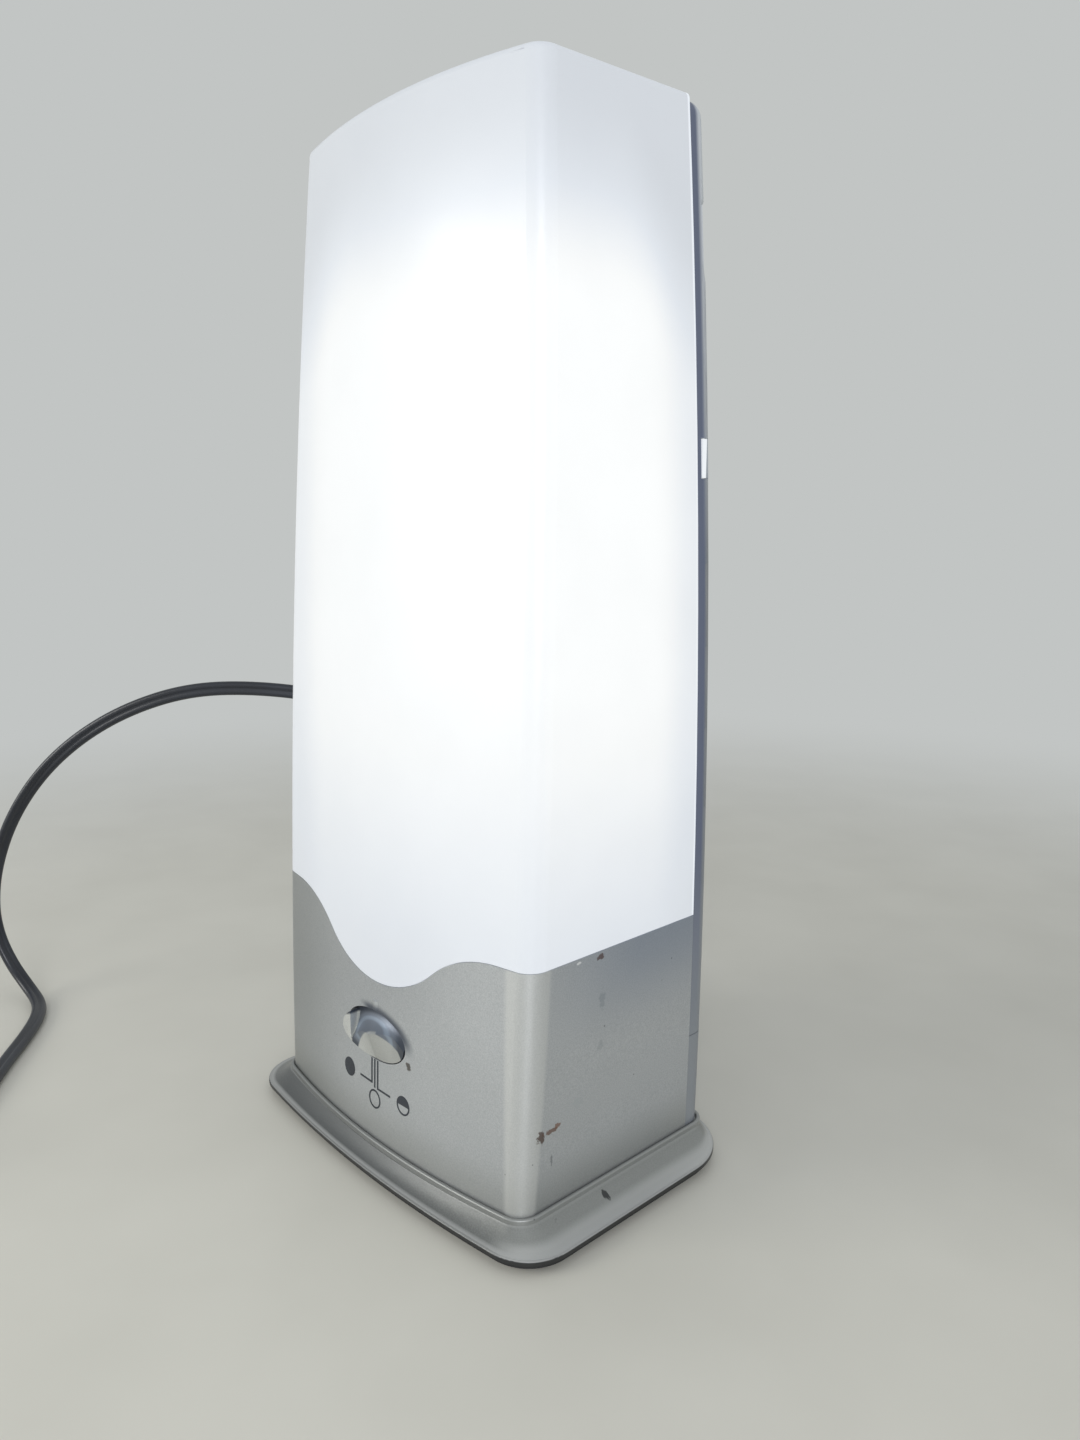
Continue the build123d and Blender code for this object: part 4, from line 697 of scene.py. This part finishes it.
# pad-printed ink: flat and dark, a little uneven where it took badly
marks.data.materials.append(moulded("printing ink", "#1b2029", "#262c36", 0.45, 0.6, 0.005))
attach(marks, "case")

# --- Studio ------------------------------------------------------------------------------------
backdrop = "#c2c5c4"
table_size = 16.0
fade_start = 0.36  # metres from the lamp, where the table starts to take the backdrop's colour
fade_end = 1.1


def seen_directly(tree):
    """1 for rays from the camera, off a mirror or through glass, and 0 for those that light."""
    seen = add(tree, "ShaderNodeLightPath", output="Is Camera Ray")
    rays = seen.node.outputs
    for ray in ("Is Glossy Ray", "Is Transmission Ray"):
        seen = add(tree, "ShaderNodeMath", {"operation": "MAXIMUM"}, {0: seen, 1: rays[ray]})
    return seen


def make_table():
    """Pale laminate that fades to the backdrop well away from the lamp."""
    mesh = bmesh.new()
    bmesh.ops.create_grid(mesh, x_segments=4, y_segments=4, size=table_size / 2)
    table = piece("table", mesh)
    made, tree, shader, place = material("pale laminate", {"IOR": 1.5})
    tint = lay(tree, "#d6d4c8", "#d0cec2", wavering(tree, place, 90, 0.0, 1.0, 3.0))
    gloss = wavering(tree, place, 90, 0.42, 0.5, 3.0)
    height = wavering(tree, place, 3.0, 0.0, 1.0, ends=(0.0, 1.0))
    bump = add(tree, "ShaderNodeBump", inputs={"Height": height, "Distance": 0.01 * MM})
    connect(tree, shader, {"Base Color": tint, "Roughness": gloss, "Normal": bump})
    metre = 1 / MM
    away = spot(tree, place, (0, 0, 0), (metre, metre, metre), fade_start, fade_end)
    plain = add(tree, "ShaderNodeEmission", inputs={"Color": linear(backdrop)})
    inputs = {0: product(tree, away, seen_directly(tree)), 1: shader.outputs["BSDF"], 2: plain}
    both = add(tree, "ShaderNodeMixShader", inputs=inputs)
    connect(tree, tree.nodes["Material Output"], {"Surface": both})
    table.data.materials.append(made)


def make_world():
    """Soft light from all round, with the plain backdrop where it is looked at."""
    world = bpy.data.worlds.new("studio")
    world.use_nodes = True
    tree = world.node_tree
    soft = tree.nodes["Background"]
    connect(tree, soft, {"Color": linear("#eff3f9"), "Strength": 0.6})
    plain = add(tree, "ShaderNodeBackground", inputs={"Color": linear(backdrop), "Strength": 1.0})
    inputs = {0: seen_directly(tree), 1: soft.outputs["Background"], 2: plain}
    both = add(tree, "ShaderNodeMixShader", inputs=inputs)
    connect(tree, tree.nodes["World Output"], {"Surface": both})
    bpy.context.scene.world = world


def soft_box(name, place, size, watts, colour):
    """Square soft lamp that faces the middle of the case."""
    data = bpy.data.lights.new(name, "AREA")
    data.size = size
    data.energy = watts
    data.color = linear(colour)[:3]
    lamp = bpy.data.objects.new(name, data)
    lamp.location = place
    lamp.rotation_euler = (Vector((0, 0, 0.15)) - Vector(place)).to_track_quat("-Z", "Y").to_euler()
    bpy.context.scene.collection.objects.link(lamp)


make_table()
make_world()
soft_box("window_light", (0.95, -0.8, 0.55), 0.5, 7, "#f8f9ff")
soft_box("room_light", (-0.6, -1.1, 0.5), 0.6, 5.5, "#fffdf8")

camera_data = bpy.data.cameras.new("studio_camera")
camera_data.lens = camera_lens
camera = bpy.data.objects.new("studio_camera", camera_data)
camera.location = [value * MM for value in camera_place]
camera.rotation_euler = (math.radians(90 - camera_dip), 0, math.radians(camera_turn))
bpy.context.scene.collection.objects.link(camera)
bpy.context.scene.camera = camera
bpy.context.scene.view_settings.view_transform = "Standard"
